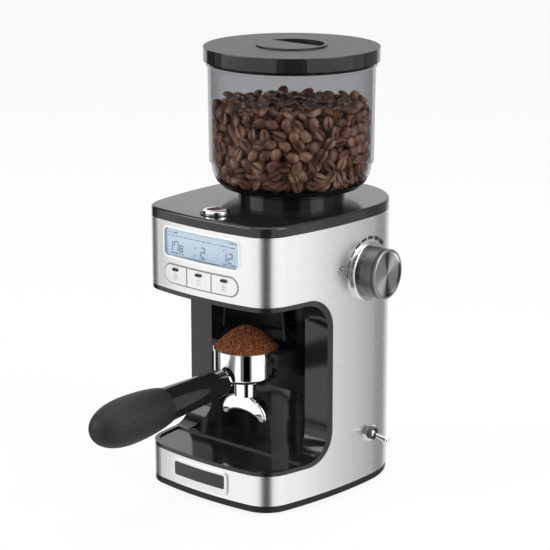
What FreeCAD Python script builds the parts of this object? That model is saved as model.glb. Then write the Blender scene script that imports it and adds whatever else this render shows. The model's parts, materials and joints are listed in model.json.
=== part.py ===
import FreeCAD, Part
import math
import os

# Burr coffee grinder with a portafilter cradle. Millimetres, +Z up, front towards -Y,
# grind dial on the +X side. The origin is the middle of the body's plan, on the worktop.

os.makedirs("parts", exist_ok=True)
V = FreeCAD.Vector
UP = V(0, 0, 1)
RIGHT = V(1, 0, 0)
BACK = V(0, 1, 0)

# Clearances
RUN_FIT = 0.06
SLIDE_GAP = 0.3
SEAT_GAP = 0.2
PAST = 1.0

# Plan of the body: four bowed sides with rounded corners
BODY_WIDTH = 169.2
BODY_DEPTH = 206.0
FRONT_BOW = 10.1
SIDE_BOW = 13.1
REAR_BOW = 2.5
FRONT_CORNER_R = 28.0
REAR_CORNER_R = 73.0

# Heights of the body
FOOT_STAND = 1.5
BASE_BAND = 6.5
SKIN_HEIGHT = 241.5
COVER_HEIGHT = 9.3

# Walls
SKIN_T = 0.8
CHASSIS_T = 2.2
BASE_T = 3.0
BASE_RIM_T = 2.0
BASE_RIM_HEIGHT = 5.0
BASE_INSET = 0.4
COVER_T = 2.8
COVER_RIM_T = 1.6
COVER_RIM_HEIGHT = 4.0
COVER_EDGE_R = 2.5

# Feet and base screws
FOOT_R = 9.0
FOOT_SINK = 1.5
FOOT_FRONT_X = 60.0
FOOT_FRONT_SETBACK = 33.0
FOOT_REAR_X = 50.0
FOOT_REAR_SETBACK = 41.0
BOSS_R = 4.5
BOSS_HEIGHT = 20.0
BASE_SCREW_FRONT_Y = -50.0
BASE_SCREW_REAR_Y = 20.0
SCREW_R = 1.5
SCREW_HEAD_R = 2.8
SCREW_HEAD_T = 1.6
SCREW_BITE = 9.0

# C-shaped bay, open at the front and at both sides
BAY_RISE = 27.5
BAY_HEIGHT = 152.8
BAY_EDGE_Y = -21.3
BAY_CORNER_R = 29.0
TRIM_INSET = 0.15
LINER_FLOOR_T = 3.8
LINER_CEILING_T = 4.3
LINER_WALL_T = 6.7
LINER_RIM_T = 4.0
LINER_FLOOR_SINK = 1.6
NICHE_R = 66.0
NICHE_DEPTH = 33.0
NICHE_T = 2.5
LEDGE_HEIGHT = 11.0
LEDGE_T = 2.2

# Grinding axis, drive train and deck
BURR_Y = 18.0
DECK_T = 3.0
DECK_LEDGE_T = 3.0
DECK_LEDGE_WIDTH = 5.0
DECK_FRONT_Y = -18.0
GEAR_MODULE = 1.0
BURR_GEAR_TEETH = 42
PINION_TEETH = 18
PRESSURE_ANGLE = math.radians(20)
ADDENDUM = 0.9
DEDENDUM = 1.2
BACKLASH = 0.3
FLANK_STEPS = 4
GEAR_WIDTH = 8.0
GEAR_LIFT = 1.7
GEAR_CASE_T = 2.5
GEAR_CASE_GAP = 2.6
GEAR_CASE_HEIGHT = 11.7
SHAFT_R = 4.0
BUSH_R = 8.0

# Motor, upright in the rear column
MOTOR_R = 32.0
MOTOR_LENGTH = 90.0
MOTOR_WALL = 2.0
MOTOR_CAP_T = 3.0
MAGNET_T = 5.0
ROTOR_GAP = 1.0
ROTOR_SLOTS = 12
ROTOR_SLOT_SHARE = 0.6
ROTOR_STACK = 56.0
MOTOR_SHAFT_R = 3.0
MOTOR_SCREW_R = 19.0
MOTOR_SCREW_ANGLE = math.radians(24)

# Grinding chamber, burrs and sweeper
CHAMBER_R = 38.0
CHAMBER_WALL = 3.5
CHAMBER_FLOOR_T = 3.0
CHAMBER_HEIGHT = 37.0
BEARING_R = 11.0
BEARING_HEIGHT = 7.0
BEARING_SEAT_T = 3.0
EXIT_WIDTH = 20.0
EXIT_HEIGHT = 12.0
EXIT_WALL = 2.0
EXIT_REACH = 2.3
SWEEPER_LIFT = 1.0
SWEEPER_T = 2.0
SWEEPER_PADDLES = 4
PADDLE_HEIGHT = 5.0
PADDLE_T = 2.5
CONE_BOTTOM_R = 23.0
CONE_TOP_R = 11.0
CONE_HEIGHT = 20.0
CONE_FLUTES = 18
BURR_GAP = 0.8
RING_BURR_R = 33.0
RING_MOUTH_R = 19.0
RING_BURR_HEIGHT = 18.0
FLUTE_DEPTH = 1.6
BURR_NUT_R = 6.5
BURR_NUT_HEIGHT = 5.0

# Turning carrier of the ring burr, with a crown rack for the dial's pinion
CARRIER_R = 42.0
CARRIER_T = 3.9
CARRIER_SPIGOT = 4.0
CARRIER_BORE_R = 21.0
RACK_PITCH_R = 45.0
RACK_WIDTH = 6.0
RACK_TEETH = 60
RACK_CUT_TEETH = 14
RACK_FLANGE_T = 3.5
RACK_TOOTH_ROOT = 1.6
RACK_TOOTH_TIP = 1.0
DIAL_PINION_TEETH = 10
DIAL_TOOTH_ROOT = 1.9
DIAL_TOOTH_TIP = 1.1
DIAL_TIP_RISE = 1.2
DIAL_ROOT_SINK = 1.8

# Grind dial on the right side, its axis pointing at the burr axis
DIAL_ANGLE = math.radians(6.1)
DIAL_Z = 201.0
DIAL_R = 22.5
DIAL_REACH = 21.0
DIAL_RIM_T = 2.4
DIAL_FACE_T = 3.0
DIAL_FACE_SINK = 1.2
DIAL_STANDOFF = 1.2
DIAL_BEZEL_R = 26.7
DIAL_BEZEL_T = 2.6
DIAL_SHAFT_R = 4.0
DIAL_BUSH_R = 7.5
DIAL_BUSH_FLANGE_R = 9.2
DIAL_BUSH_FLANGE_T = 3.0

# Grounds chute, its shroud and the portafilter cradle
CUP_Y = -43.0
CHUTE_R = 14.0
CHUTE_WALL = 2.0
CHUTE_DROP = 13.0
SHROUD_TOP_R = 33.0
SHROUD_BOTTOM_R = 37.5
SHROUD_DROP = 44.0
SHROUD_T = 2.0
SHROUD_HALF_ANGLE = 75.0
CRADLE_ARM_T = 11.0
CRADLE_FRONT_Y = -45.0
CRADLE_NOSE = 13.0
CRADLE_ROOT = 46.0
CRADLE_BACK_T = 9.0

# Portafilter
CUP_R = 29.2
CUP_HEIGHT = 28.0
CUP_TOP_Z = 129.0
CUP_WALL = 2.2
CUP_FLOOR_T = 3.5
CUP_EDGE_R = 6.0
EAR_REACH = 4.5
EAR_LENGTH = 16.0
EAR_T = 5.0
EAR_DROP = 3.0
BASKET_GAP = 0.3
BASKET_WALL = 0.8
BASKET_DEPTH = 23.0
BASKET_RIM_T = 0.8
HEAP_HEIGHT = 21.0
SPOUT_NECK_R = 11.0
SPOUT_REACH = 22.0
SPOUT_RISE = 14.0
SPOUT_AXIS_Z = 64.5
SPOUT_TOP_HEIGHT = 16.0
SPOUT_TOP_WIDTH = 13.0
SPOUT_TIP_HEIGHT = 8.6
SPOUT_TIP_WIDTH = 9.0
SPOUT_EDGE_R = 2.6
SPOUT_WALL = 1.8
SPOUT_STEPS = 8
OUTLET_R = 6.0
HANDLE_Z = 104.0
HANDLE_START = 33.0
HANDLE_TILT = 3.3
NECK_LENGTH = 74.0
NECK_START_R = 12.0
NECK_END_R = 15.5
TANG_R = 8.5
TANG_LENGTH = 22.0
GRIP_LENGTH = 82.0
GRIP_R = 20.8
GRIP_WIDEST_AT = 0.52
GRIP_FRONT_SHARE = 0.955
GRIP_TAIL_SHARE = 0.79
GRIP_CORE_R = 8.0
GRIP_CORE_LENGTH = 58.0

# Hopper and lid
COLLAR_R = 48.3
COLLAR_HEIGHT = 6.5
SOCKET_R = 43.0
SOCKET_DEPTH = 13.8
SOCKET_WALL = 3.5
SOCKET_FLOOR_T = 3.0
SOCKET_BORE_R = 22.0
SPIGOT_LENGTH = 15.0
SPIGOT_WALL = 8.0
HOPPER_BASE_R = 68.0
HOPPER_BASE_RISE = 9.5
HOPPER_NECK_RISE = 2.5
HOPPER_FUNNEL_DROP = 9.0
GLASS_T = 2.5
BOWL_R = 71.8
BOWL_RISE = 15.5
BOWL_BULGE_OUT = 0.72
BOWL_BULGE_UP = 0.4
HOPPER_R = 74.2
HOPPER_TOP_R = 75.1
HOPPER_WALL_HEIGHT = 86.5
HOPPER_STEP = 1.5
RIM_R = 76.6
RIM_HEIGHT = 4.0
BEAN_LEVEL = 53.0
BEAN_GAP = 0.4
LID_R = 79.1
LID_T = 12.3
LID_EDGE_R = 0.9
LID_HOLLOW = 9.0
SKIRT_T = 3.0
SKIRT_CLEAR = 0.5
SEAL_T = 2.6
SEAL_HEIGHT = 2.0
SEAL_LIFT = 0.8
GRIP_DISC_R = 32.0
GRIP_DISC_T = 1.6
RECESS_R = 29.0
RECESS_DEPTH = 6.4
RECESS_CHORD = 5.0
RECESS_FLOOR_T = 2.2

# Start button in the cover
START_SETBACK = 22.5
START_R = 11.7
START_RISE = 3.6
START_SKIRT = 7.0
START_DISH = 1.2
START_DISH_R = 9.0
START_TRAVEL = 2.0
START_FLANGE = 1.8
START_RING_W = 2.4
START_RING_T = 0.7
START_STEM_R = 4.0
START_POST_X = 20.0
START_POST_R = 3.0
START_POST_DROP = 12.0
START_SWITCH_SIDE = 12.0
START_SWITCH_T = 5.0

# Display and front buttons
FRONT_BAR_OUT = 20.0
FRONT_BAR_IN = 30.0
LCD_WIDTH = 92.0
LCD_HEIGHT = 28.2
LCD_Z = 231.5
LCD_CORNER_R = 6.0
LCD_EDGE = 1.4
LENS_T = 1.4
LENS_SINK = 0.5
PANEL_T = 3.2
BUTTONS_WIDTH = 89.4
BUTTONS_HEIGHT = 18.6
BUTTONS_Z = 203.2
BUTTON_FRAME_EDGE = 1.1
BUTTON_DIVIDER = 0.9
BUTTON_SPLIT = 14.7
BUTTON_PROUD = 0.5
BUTTON_TRAVEL = 0.8
BUTTON_STEM = 5.0
SWITCH_SIDE = 6.0
SWITCH_T = 2.0
BOARD_T = 1.6
DISPLAY_BOARD_WIDTH = 109.0
DISPLAY_BOARD_HEIGHT = 51.6
POST_R = 3.0
POST_MARGIN = 3.4

# Name plate on the front of the base
PLATE_WIDTH = 67.0
PLATE_HEIGHT = 20.8
PLATE_X = -2.0
PLATE_Z = 21.4
PLATE_CORNER_R = 4.0
PLATE_T = 1.3
INLAY_MARGIN = 3.0
INLAY_HEIGHT = 12.6
INLAY_DROP = 2.2
INLAY_SINK = 0.5

# Toggle switch on the right side
TOGGLE_Y = 31.0
TOGGLE_Z = 49.0
TOGGLE_BODY_LENGTH = 20.0
TOGGLE_BODY_SIDE = 14.0
TOGGLE_BUSH_R = 5.8
TOGGLE_BUSH_REACH = 6.0
TOGGLE_BORE_R = 4.2
TOGGLE_NUT_FLATS = 14.0
TOGGLE_NUT_T = 2.6
TOGGLE_PIVOT_DEPTH = 3.6
TOGGLE_LEVER_LENGTH = 18.0
TOGGLE_LEVER_R = 1.8
TOGGLE_TIP_R = 2.7
TOGGLE_BALL_R = 4.1
TOGGLE_TILT = math.radians(10)

# Power board in the rear column, and the mains cord's gland
POWER_BOARD_SETBACK = 17.0
POWER_BOARD_WIDTH = 70.0
POWER_BOARD_HEIGHT = 58.0
POWER_BOARD_Z = 22.0
TRANSFORMER_T = 20.0
TRANSFORMER_WIDTH = 22.0
TRANSFORMER_HEIGHT = 26.0
RELAY_T = 14.0
RELAY_WIDTH = 16.0
RELAY_HEIGHT = 18.0
CAPACITOR_R = 5.0
GLAND_Z = 22.0
GLAND_X = -46.0
GLAND_R = 7.0
GLAND_BORE_R = 4.0
GLAND_FLANGE_R = 10.0
GLAND_FLANGE_T = 4.0

# Levels and places worked out from the values above
FRONT_Y = -BODY_DEPTH / 2
REAR_Y = BODY_DEPTH / 2
START_Y = FRONT_Y + START_SETBACK
POWER_BOARD_Y = REAR_Y - POWER_BOARD_SETBACK
FOOT_FRONT_Y = FRONT_Y + FOOT_FRONT_SETBACK
FOOT_REAR_Y = REAR_Y - FOOT_REAR_SETBACK
SIDE_X = BODY_WIDTH / 2
SKIN_BOTTOM = FOOT_STAND + BASE_BAND
SKIN_TOP = SKIN_BOTTOM + SKIN_HEIGHT
COVER_TOP = SKIN_TOP + COVER_HEIGHT
CHASSIS_INSET = SKIN_T + SEAT_GAP
CHASSIS_INNER = CHASSIS_INSET + CHASSIS_T
RIM_INSET = CHASSIS_INNER + SLIDE_GAP
BAY_BOTTOM = SKIN_BOTTOM + BAY_RISE
BAY_TOP = BAY_BOTTOM + BAY_HEIGHT
FLOOR_Z = BAY_BOTTOM + LINER_FLOOR_T
CEILING_Z = BAY_TOP - LINER_CEILING_T
WALL_Y = BAY_EDGE_Y - LINER_WALL_T
NICHE_Y = WALL_Y + NICHE_DEPTH - NICHE_R
DECK_TOP = BAY_TOP + DECK_T
GEAR_Z = DECK_TOP + GEAR_LIFT
CHAMBER_Z = DECK_TOP + GEAR_CASE_HEIGHT
CHAMBER_TOP = CHAMBER_Z + CHAMBER_HEIGHT
CHAMBER_FLOOR = CHAMBER_Z + CHAMBER_FLOOR_T
CHAMBER_BORE_R = CHAMBER_R - CHAMBER_WALL
BURR_GEAR_R = GEAR_MODULE * BURR_GEAR_TEETH / 2
PINION_R = GEAR_MODULE * PINION_TEETH / 2
MOTOR_Y = BURR_Y + BURR_GEAR_R + PINION_R
MOTOR_TOP = BAY_TOP
MOTOR_BOTTOM = MOTOR_TOP - MOTOR_LENGTH
BEARING_Z = CHAMBER_Z - SEAT_GAP
SWEEPER_Z = CHAMBER_Z + BEARING_HEIGHT + SWEEPER_LIFT
CONE_Z = SWEEPER_Z + SWEEPER_T
CONE_TOP = CONE_Z + CONE_HEIGHT
CARRIER_Z = CHAMBER_TOP + 2 * RUN_FIT
CARRIER_TOP = CARRIER_Z + CARRIER_T
RING_BURR_TOP = CARRIER_Z - CARRIER_SPIGOT
RING_BURR_Z = RING_BURR_TOP - RING_BURR_HEIGHT
DIAL_PINION_R = RACK_PITCH_R * DIAL_PINION_TEETH / RACK_TEETH
RACK_Z = DIAL_Z + DIAL_PINION_R
RACK_ROOT_Z = RACK_Z + DIAL_TIP_RISE + SLIDE_GAP
RACK_TIP_Z = RACK_Z - DIAL_TIP_RISE
CUP_BOTTOM_Z = CUP_TOP_Z - CUP_HEIGHT
CUP_BORE_R = CUP_R - CUP_WALL
EAR_TOP_Z = CUP_TOP_Z - EAR_DROP
ARM_X = CUP_R + SLIDE_GAP
BASKET_R = CUP_BORE_R - BASKET_GAP
COLLAR_TOP = COVER_TOP + COLLAR_HEIGHT
SOCKET_BOTTOM = COVER_TOP - SOCKET_DEPTH
SPIGOT_R = SOCKET_R - SOCKET_WALL - SLIDE_GAP
THROAT_R = SPIGOT_R - SPIGOT_WALL
HOPPER_Z = COLLAR_TOP + SLIDE_GAP
GLASS_Z = HOPPER_Z + HOPPER_BASE_RISE
BOWL_TOP = GLASS_Z + BOWL_RISE
HOPPER_RIM_Z = BOWL_TOP + HOPPER_STEP + HOPPER_WALL_HEIGHT
HOPPER_TOP = HOPPER_RIM_Z + RIM_HEIGHT
LID_Z = HOPPER_TOP + SLIDE_GAP
LID_TOP = LID_Z + LID_T
SKIRT_R = RIM_R - GLASS_T - SLIDE_GAP
SKIRT_DROP = RIM_HEIGHT - SKIRT_CLEAR
BOARD_TOP = SKIN_TOP - COVER_RIM_HEIGHT - SLIDE_GAP
START_UNDER = COVER_TOP - COVER_T


# Small builders

def arc_radius(half_chord, bow):
    return (half_chord ** 2 + bow ** 2) / (2 * bow)


FRONT_R = arc_radius(BODY_WIDTH / 2, FRONT_BOW)
SIDE_R = arc_radius(BODY_DEPTH / 2, SIDE_BOW)
REAR_R = arc_radius(BODY_WIDTH / 2, REAR_BOW)


def front_y(inset, x):
    return FRONT_Y + FRONT_R - math.sqrt((FRONT_R - inset) ** 2 - x ** 2)


# The display's flat panel stands clear of the bowed lens at its ends
PANEL_Y = front_y(LENS_SINK + LENS_T, LCD_WIDTH / 2 - LCD_EDGE) + SEAT_GAP
BOARD_Y = PANEL_Y + PANEL_T


def rod(radius, length, start, direction=UP):
    return Part.makeCylinder(radius, length, start, direction)


def tube(outer, inner, length, start, direction=UP):
    return rod(outer, length, start, direction).cut(rod(inner, length, start, direction))


def block(x0, x1, y0, y1, z0, z1):
    return Part.makeBox(x1 - x0, y1 - y0, z1 - z0, V(x0, y0, z0))


def fuse(shapes):
    return shapes[0].multiFuse(shapes[1:]).removeSplitter()


def rounded(shape, radius, wanted):
    edges = [edge for edge in shape.Edges if wanted(edge)]
    return shape.makeFillet(radius, edges)


def runs_along(edge, direction):
    if not isinstance(edge.Curve, Part.Line):
        return False
    return abs(abs(edge.Curve.Direction.dot(direction)) - 1) < 1e-6


def lies_at(edge, z):
    return abs(edge.BoundBox.ZMin - z) < 1e-4 and abs(edge.BoundBox.ZMax - z) < 1e-4


def turned(points, axis_y, angle=360.0, start=0.0):
    # a closed outline of (radius, height) points, turned about an upright axis
    corners = [V(radius, axis_y, height) for radius, height in points]
    outline = Part.makePolygon(corners + corners[:1])
    axis = V(0, axis_y, 0)
    solid = Part.Face(outline).revolve(axis, UP, angle)
    solid.rotate(axis, UP, start)
    return solid


def around(shape, count, axis_y):
    copies = []
    for index in range(count):
        copy = shape.copy()
        copy.rotate(V(0, axis_y, 0), UP, 360.0 * index / count)
        copies.append(copy)
    return copies


# Plan outline of the body, set in by a distance, between two heights

def plan_prism(inset, z0, z1):
    height = z1 - z0
    front = rod(FRONT_R - inset, height, V(0, FRONT_Y + FRONT_R, z0))
    rear = rod(REAR_R - inset, height, V(0, REAR_Y - REAR_R, z0))
    left = rod(SIDE_R - inset, height, V(SIDE_R - SIDE_X, 0, z0))
    right = left.mirror(V(0, 0, 0), RIGHT)
    body = front.common(rear).common(left).common(right)

    def front_corner(edge):
        return runs_along(edge, UP) and edge.BoundBox.Center.y < 0

    def rear_corner(edge):
        return runs_along(edge, UP) and edge.BoundBox.Center.y > REAR_Y - REAR_CORNER_R / 2

    body = rounded(body, FRONT_CORNER_R - inset, front_corner)
    return rounded(body, REAR_CORNER_R - inset, rear_corner)


def plan_shell(outer_inset, inner_inset, z0, z1):
    return plan_prism(outer_inset, z0, z1).cut(plan_prism(inner_inset, z0 - PAST, z1 + PAST))


def side_x(inset, y):
    return SIDE_X - SIDE_R + math.sqrt((SIDE_R - inset) ** 2 - y ** 2)


def front_bar(width, height, corner, z, x=0.0):
    # a rounded bar that runs front to back through the front wall
    bar = block(x - width / 2, x + width / 2, FRONT_Y - FRONT_BAR_OUT, FRONT_Y + FRONT_BAR_IN,
                z - height / 2, z + height / 2)
    return rounded(bar, corner, lambda e: runs_along(e, BACK))


def bay_block(grow):
    bay = block(-BODY_WIDTH, BODY_WIDTH, -BODY_DEPTH, BAY_EDGE_Y + grow, BAY_BOTTOM - grow, BAY_TOP + grow)

    def back_edge(edge):
        return runs_along(edge, RIGHT) and edge.BoundBox.Center.y > FRONT_Y

    return rounded(bay, BAY_CORNER_R + grow, back_edge)


# Dial axis: out of the right side, in line with the burr axis

DIAL_AXIS = V(math.cos(DIAL_ANGLE), math.sin(DIAL_ANGLE), 0)


def dial_point(distance):
    return V(0, BURR_Y, DIAL_Z) + DIAL_AXIS * distance


def dial_surface(inset, beside=0.0):
    # distance from the burr axis to the side wall, along the dial axis or a line beside it
    centre = V(SIDE_X - SIDE_R, -BURR_Y, 0) - V(-DIAL_AXIS.y, DIAL_AXIS.x, 0) * beside
    along = centre.dot(DIAL_AXIS)
    across = centre.Length ** 2 - along ** 2
    return along + math.sqrt((SIDE_R - inset) ** 2 - across)


DIAL_SIDE = dial_surface(0)


def screw(start, direction, bite=SCREW_BITE):
    # a pan head standing on a surface, its shank going in against the direction
    head = rod(SCREW_HEAD_R, SCREW_HEAD_T, start, direction)
    shank = rod(SCREW_R, bite, start - direction * bite, direction)
    return fuse([head, shank])


def screw_hole(start, direction, bite=SCREW_BITE):
    hole_length = bite + PAST
    return rod(SCREW_R + RUN_FIT, hole_length + PAST, start - direction * hole_length, direction)


# Base

def foot_places():
    places = []
    for x, y in ((FOOT_FRONT_X, FOOT_FRONT_Y), (FOOT_REAR_X, FOOT_REAR_Y)):
        places += [V(-x, y, 0), V(x, y, 0)]
    return places


def base_screw_places():
    places = []
    for y in (BASE_SCREW_FRONT_Y, BASE_SCREW_REAR_Y):
        x = side_x(CHASSIS_INNER + BOSS_R - PAST, y)
        places += [V(-x, y, 0), V(x, y, 0)]
    return places


def base_plate():
    band = plan_prism(BASE_INSET, FOOT_STAND, SKIN_BOTTOM)
    band = rounded(band, BASE_T / 3, lambda e: lies_at(e, FOOT_STAND))
    rim = plan_prism(RIM_INSET, SKIN_BOTTOM - PAST, SKIN_BOTTOM + BASE_RIM_HEIGHT)
    hollow = plan_prism(RIM_INSET + BASE_RIM_T, FOOT_STAND + BASE_T, SKIN_BOTTOM + BASE_RIM_HEIGHT + PAST)
    plate = band.fuse(rim).removeSplitter().cut(hollow)
    cuts = []
    for place in foot_places():
        cuts.append(rod(FOOT_R + SEAT_GAP, FOOT_SINK + PAST, place + UP * (FOOT_STAND - PAST)))
    for place in base_screw_places():
        cuts.append(rod(BOSS_R + SLIDE_GAP, BASE_BAND + BASE_RIM_HEIGHT, place + UP * (FOOT_STAND + BASE_T)))
        cuts.append(rod(SCREW_R + RUN_FIT, BASE_T + 2 * PAST, place + UP * (FOOT_STAND - PAST)))
        cuts.append(rod(SCREW_HEAD_R + SEAT_GAP, SCREW_HEAD_T + PAST, place + UP * (FOOT_STAND - PAST)))
    return plate.cut(Part.makeCompound(cuts))


def rubber_feet():
    feet = []
    for place in foot_places():
        foot = rod(FOOT_R, FOOT_STAND + FOOT_SINK, place)
        feet.append(rounded(foot, FOOT_STAND / 2, lambda e: lies_at(e, 0)))
    return Part.makeCompound(feet)


def base_screws():
    head_seat = UP * (FOOT_STAND + SCREW_HEAD_T)
    return Part.makeCompound([screw(place + head_seat, UP * -1) for place in base_screw_places()])


# Outer skin and inner chassis

def lcd_bar(shrink):
    return front_bar(LCD_WIDTH - 2 * shrink, LCD_HEIGHT - 2 * shrink, LCD_CORNER_R - shrink, LCD_Z)


def buttons_bar(shrink):
    height = BUTTONS_HEIGHT - 2 * shrink
    return front_bar(BUTTONS_WIDTH - 2 * shrink, height, height / 2 - RUN_FIT, BUTTONS_Z)


def gland_rod(radius, y0, y1):
    return rod(radius, y1 - y0, V(GLAND_X, y0, GLAND_Z), BACK)


def wall_holes():
    toggle = rod(TOGGLE_BUSH_R + RUN_FIT, BODY_WIDTH, V(0, TOGGLE_Y, TOGGLE_Z), RIGHT)
    dial = rod(DIAL_BUSH_R + RUN_FIT, BODY_WIDTH, dial_point(RACK_PITCH_R), DIAL_AXIS)
    gland = gland_rod(GLAND_R + RUN_FIT, 0, BODY_DEPTH)
    return [lcd_bar(-RUN_FIT), buttons_bar(-RUN_FIT), toggle, dial, gland]


def steel_skin():
    shell = plan_shell(0, SKIN_T, SKIN_BOTTOM, SKIN_TOP)
    return shell.cut(bay_block(0)).cut(Part.makeCompound(wall_holes()))


def display_post_places():
    x = DISPLAY_BOARD_WIDTH / 2 - POST_MARGIN
    z = BOARD_TOP - DISPLAY_BOARD_HEIGHT / 2
    return [V(-x, BOARD_Y, z), V(x, BOARD_Y, z)]


def power_post_places():
    places = []
    for x in (POST_MARGIN - POWER_BOARD_WIDTH / 2, POWER_BOARD_WIDTH / 2 - POST_MARGIN):
        for z in (POWER_BOARD_Z + POST_MARGIN, POWER_BOARD_Z + POWER_BOARD_HEIGHT - POST_MARGIN):
            places.append(V(x, POWER_BOARD_Y, z))
    return places


def chassis():
    wall = plan_shell(CHASSIS_INSET, CHASSIS_INNER, SKIN_BOTTOM, SKIN_TOP)
    wall = wall.cut(bay_block(SEAT_GAP))
    grown = [wall]
    ledge = plan_shell(CHASSIS_INNER - PAST, CHASSIS_INNER + DECK_LEDGE_WIDTH, BAY_TOP - DECK_LEDGE_T, BAY_TOP)
    grown.append(ledge.common(block(-BODY_WIDTH, BODY_WIDTH, DECK_FRONT_Y, BODY_DEPTH, 0, SKIN_TOP)))
    inside = plan_prism(CHASSIS_INSET + PAST, FOOT_STAND, SKIN_TOP)
    for place in base_screw_places():
        boss = rod(BOSS_R, BOSS_HEIGHT, place + UP * (FOOT_STAND + BASE_T))
        grown.append(boss.common(inside))
    for place in display_post_places():
        grown.append(rod(POST_R, BODY_DEPTH / 2, place, BACK * -1).common(inside))
    for place in power_post_places():
        grown.append(rod(POST_R, BODY_DEPTH / 2, place, BACK).common(inside))
    body = fuse(grown)
    holes = wall_holes()
    for place in base_screw_places():
        holes.append(screw_hole(place + UP * (FOOT_STAND + SCREW_HEAD_T), UP * -1))
    for place in display_post_places():
        holes.append(screw_hole(place + BACK * BOARD_T, BACK, BOARD_T + POST_R))
    for place in power_post_places():
        holes.append(screw_hole(place - BACK * BOARD_T, BACK * -1, BOARD_T + POST_R))
    return body.cut(Part.makeCompound(holes))


# Bay liner: floor, wall with its niche, ceiling and trim in one moulding

def niche(radius, z0, z1):
    return rod(radius, z1 - z0, V(0, NICHE_Y, z0))


def bay_liner():
    low = BAY_BOTTOM + TRIM_INSET
    high = BAY_TOP - TRIM_INSET
    outer = plan_prism(TRIM_INSET, low, high).common(bay_block(-TRIM_INSET))
    outer = outer.fuse(niche(NICHE_R + NICHE_T, low, high).common(plan_prism(RIM_INSET + PAST, low, high)))
    cavity = block(-BODY_WIDTH, BODY_WIDTH, -BODY_DEPTH, WALL_Y, FLOOR_Z, CEILING_Z)

    def back_edge(edge):
        return runs_along(edge, RIGHT) and edge.BoundBox.Center.y > FRONT_Y

    cavity = rounded(cavity, BAY_CORNER_R - LINER_FLOOR_T, back_edge)
    liner = outer.cut(cavity).cut(niche(NICHE_R, FLOOR_Z, CEILING_Z))
    sunk = plan_prism(LINER_RIM_T, FLOOR_Z - LINER_FLOOR_SINK, FLOOR_Z + PAST)
    sunk_back = WALL_Y - BAY_CORNER_R + LINER_FLOOR_T
    sunk = sunk.common(block(-BODY_WIDTH, BODY_WIDTH, -BODY_DEPTH, sunk_back, 0, FLOOR_Z))
    liner = liner.cut(sunk)
    ledge = niche(NICHE_R + PAST, FLOOR_Z - PAST, FLOOR_Z + LEDGE_HEIGHT)
    ledge = ledge.cut(niche(NICHE_R - LEDGE_T, FLOOR_Z - 2 * PAST, FLOOR_Z + LEDGE_HEIGHT + PAST))
    ledge = ledge.common(block(-BODY_WIDTH, BODY_WIDTH, WALL_Y + LEDGE_T, BODY_DEPTH, 0, BAY_TOP))
    liner = fuse([liner, ledge])
    mouth = rod(CHUTE_R + SEAT_GAP, LINER_CEILING_T + 2 * PAST, V(0, CUP_Y, CEILING_Z - PAST))
    return liner.cut(mouth)


# Top cover, start button

def start_posts():
    return [V(-START_POST_X, START_Y, START_UNDER), V(START_POST_X, START_Y, START_UNDER)]


def top_cover():
    cap = plan_prism(0, SKIN_TOP, COVER_TOP)
    cap = rounded(cap, COVER_EDGE_R, lambda e: lies_at(e, COVER_TOP))
    rim = plan_prism(RIM_INSET, SKIN_TOP - COVER_RIM_HEIGHT, SKIN_TOP + PAST)
    hollow = plan_prism(RIM_INSET + COVER_RIM_T, SKIN_TOP - COVER_RIM_HEIGHT - PAST, START_UNDER)
    cover = cap.fuse(rim).removeSplitter().cut(hollow)
    posts = [rod(START_POST_R, START_POST_DROP + PAST, place + UP * PAST, UP * -1) for place in start_posts()]
    cover = fuse([cover] + posts)
    depth = COVER_HEIGHT + 2 * PAST
    holes = [rod(SOCKET_R + SEAT_GAP, depth, V(0, BURR_Y, SKIN_TOP - PAST))]
    holes.append(rod(START_R + SLIDE_GAP, depth, V(0, START_Y, SKIN_TOP - PAST)))
    for place in start_posts():
        holes.append(screw_hole(place - UP * (START_POST_DROP + BOARD_T), UP * -1))
    return cover.cut(Part.makeCompound(holes))


def start_button():
    bottom = COVER_TOP - START_SKIRT
    cap = rod(START_R, START_SKIRT + START_RISE, V(0, START_Y, bottom))
    cap = rounded(cap, START_DISH / 2, lambda e: lies_at(e, COVER_TOP + START_RISE))
    dish_r = arc_radius(START_DISH_R, START_DISH)
    top = COVER_TOP + START_RISE
    cap = cap.cut(Part.makeSphere(dish_r, V(0, START_Y, top - START_DISH + dish_r)))
    cap = cap.cut(rod(START_R - START_FLANGE, START_SKIRT - COVER_T, V(0, START_Y, bottom)))
    flange_top = START_UNDER - SLIDE_GAP
    flange = tube(START_R + START_FLANGE, START_R - START_FLANGE, START_FLANGE,
                  V(0, START_Y, flange_top - START_FLANGE))
    stem_bottom = START_UNDER - START_POST_DROP + START_SWITCH_T + START_TRAVEL + SLIDE_GAP
    stem = rod(START_STEM_R, COVER_TOP - stem_bottom, V(0, START_Y, stem_bottom))
    return fuse([cap, flange, stem])


def start_ring():
    inner = START_R + SLIDE_GAP
    ring = tube(inner + START_RING_W, inner, START_RING_T, V(0, START_Y, COVER_TOP))
    return ring


def start_board():
    top = START_UNDER - START_POST_DROP
    half = START_POST_X + POST_MARGIN
    side = START_SWITCH_SIDE / 2
    board = block(-half, half, START_Y - side - PAST, START_Y + side + PAST, top - BOARD_T, top)
    switch = block(-side, side, START_Y - side, START_Y + side, top, top + START_SWITCH_T)
    board = fuse([board, switch])
    holes = [screw_hole(place - UP * (START_POST_DROP + BOARD_T), UP * -1) for place in start_posts()]
    return board.cut(Part.makeCompound(holes))


# Display and front buttons

def front_skin_piece(proud, depth, bar):
    # the part of a bar between two offsets of the bowed front
    layer = plan_shell(-proud, depth, SKIN_BOTTOM - PAST, SKIN_TOP + PAST)
    return layer.common(bar)


def lcd_frame():
    return front_skin_piece(SLIDE_GAP, CHASSIS_INNER, lcd_bar(0).cut(lcd_bar(LCD_EDGE)))


def lcd_lens():
    return front_skin_piece(-LENS_SINK, LENS_SINK + LENS_T, lcd_bar(LCD_EDGE + RUN_FIT))


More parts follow.
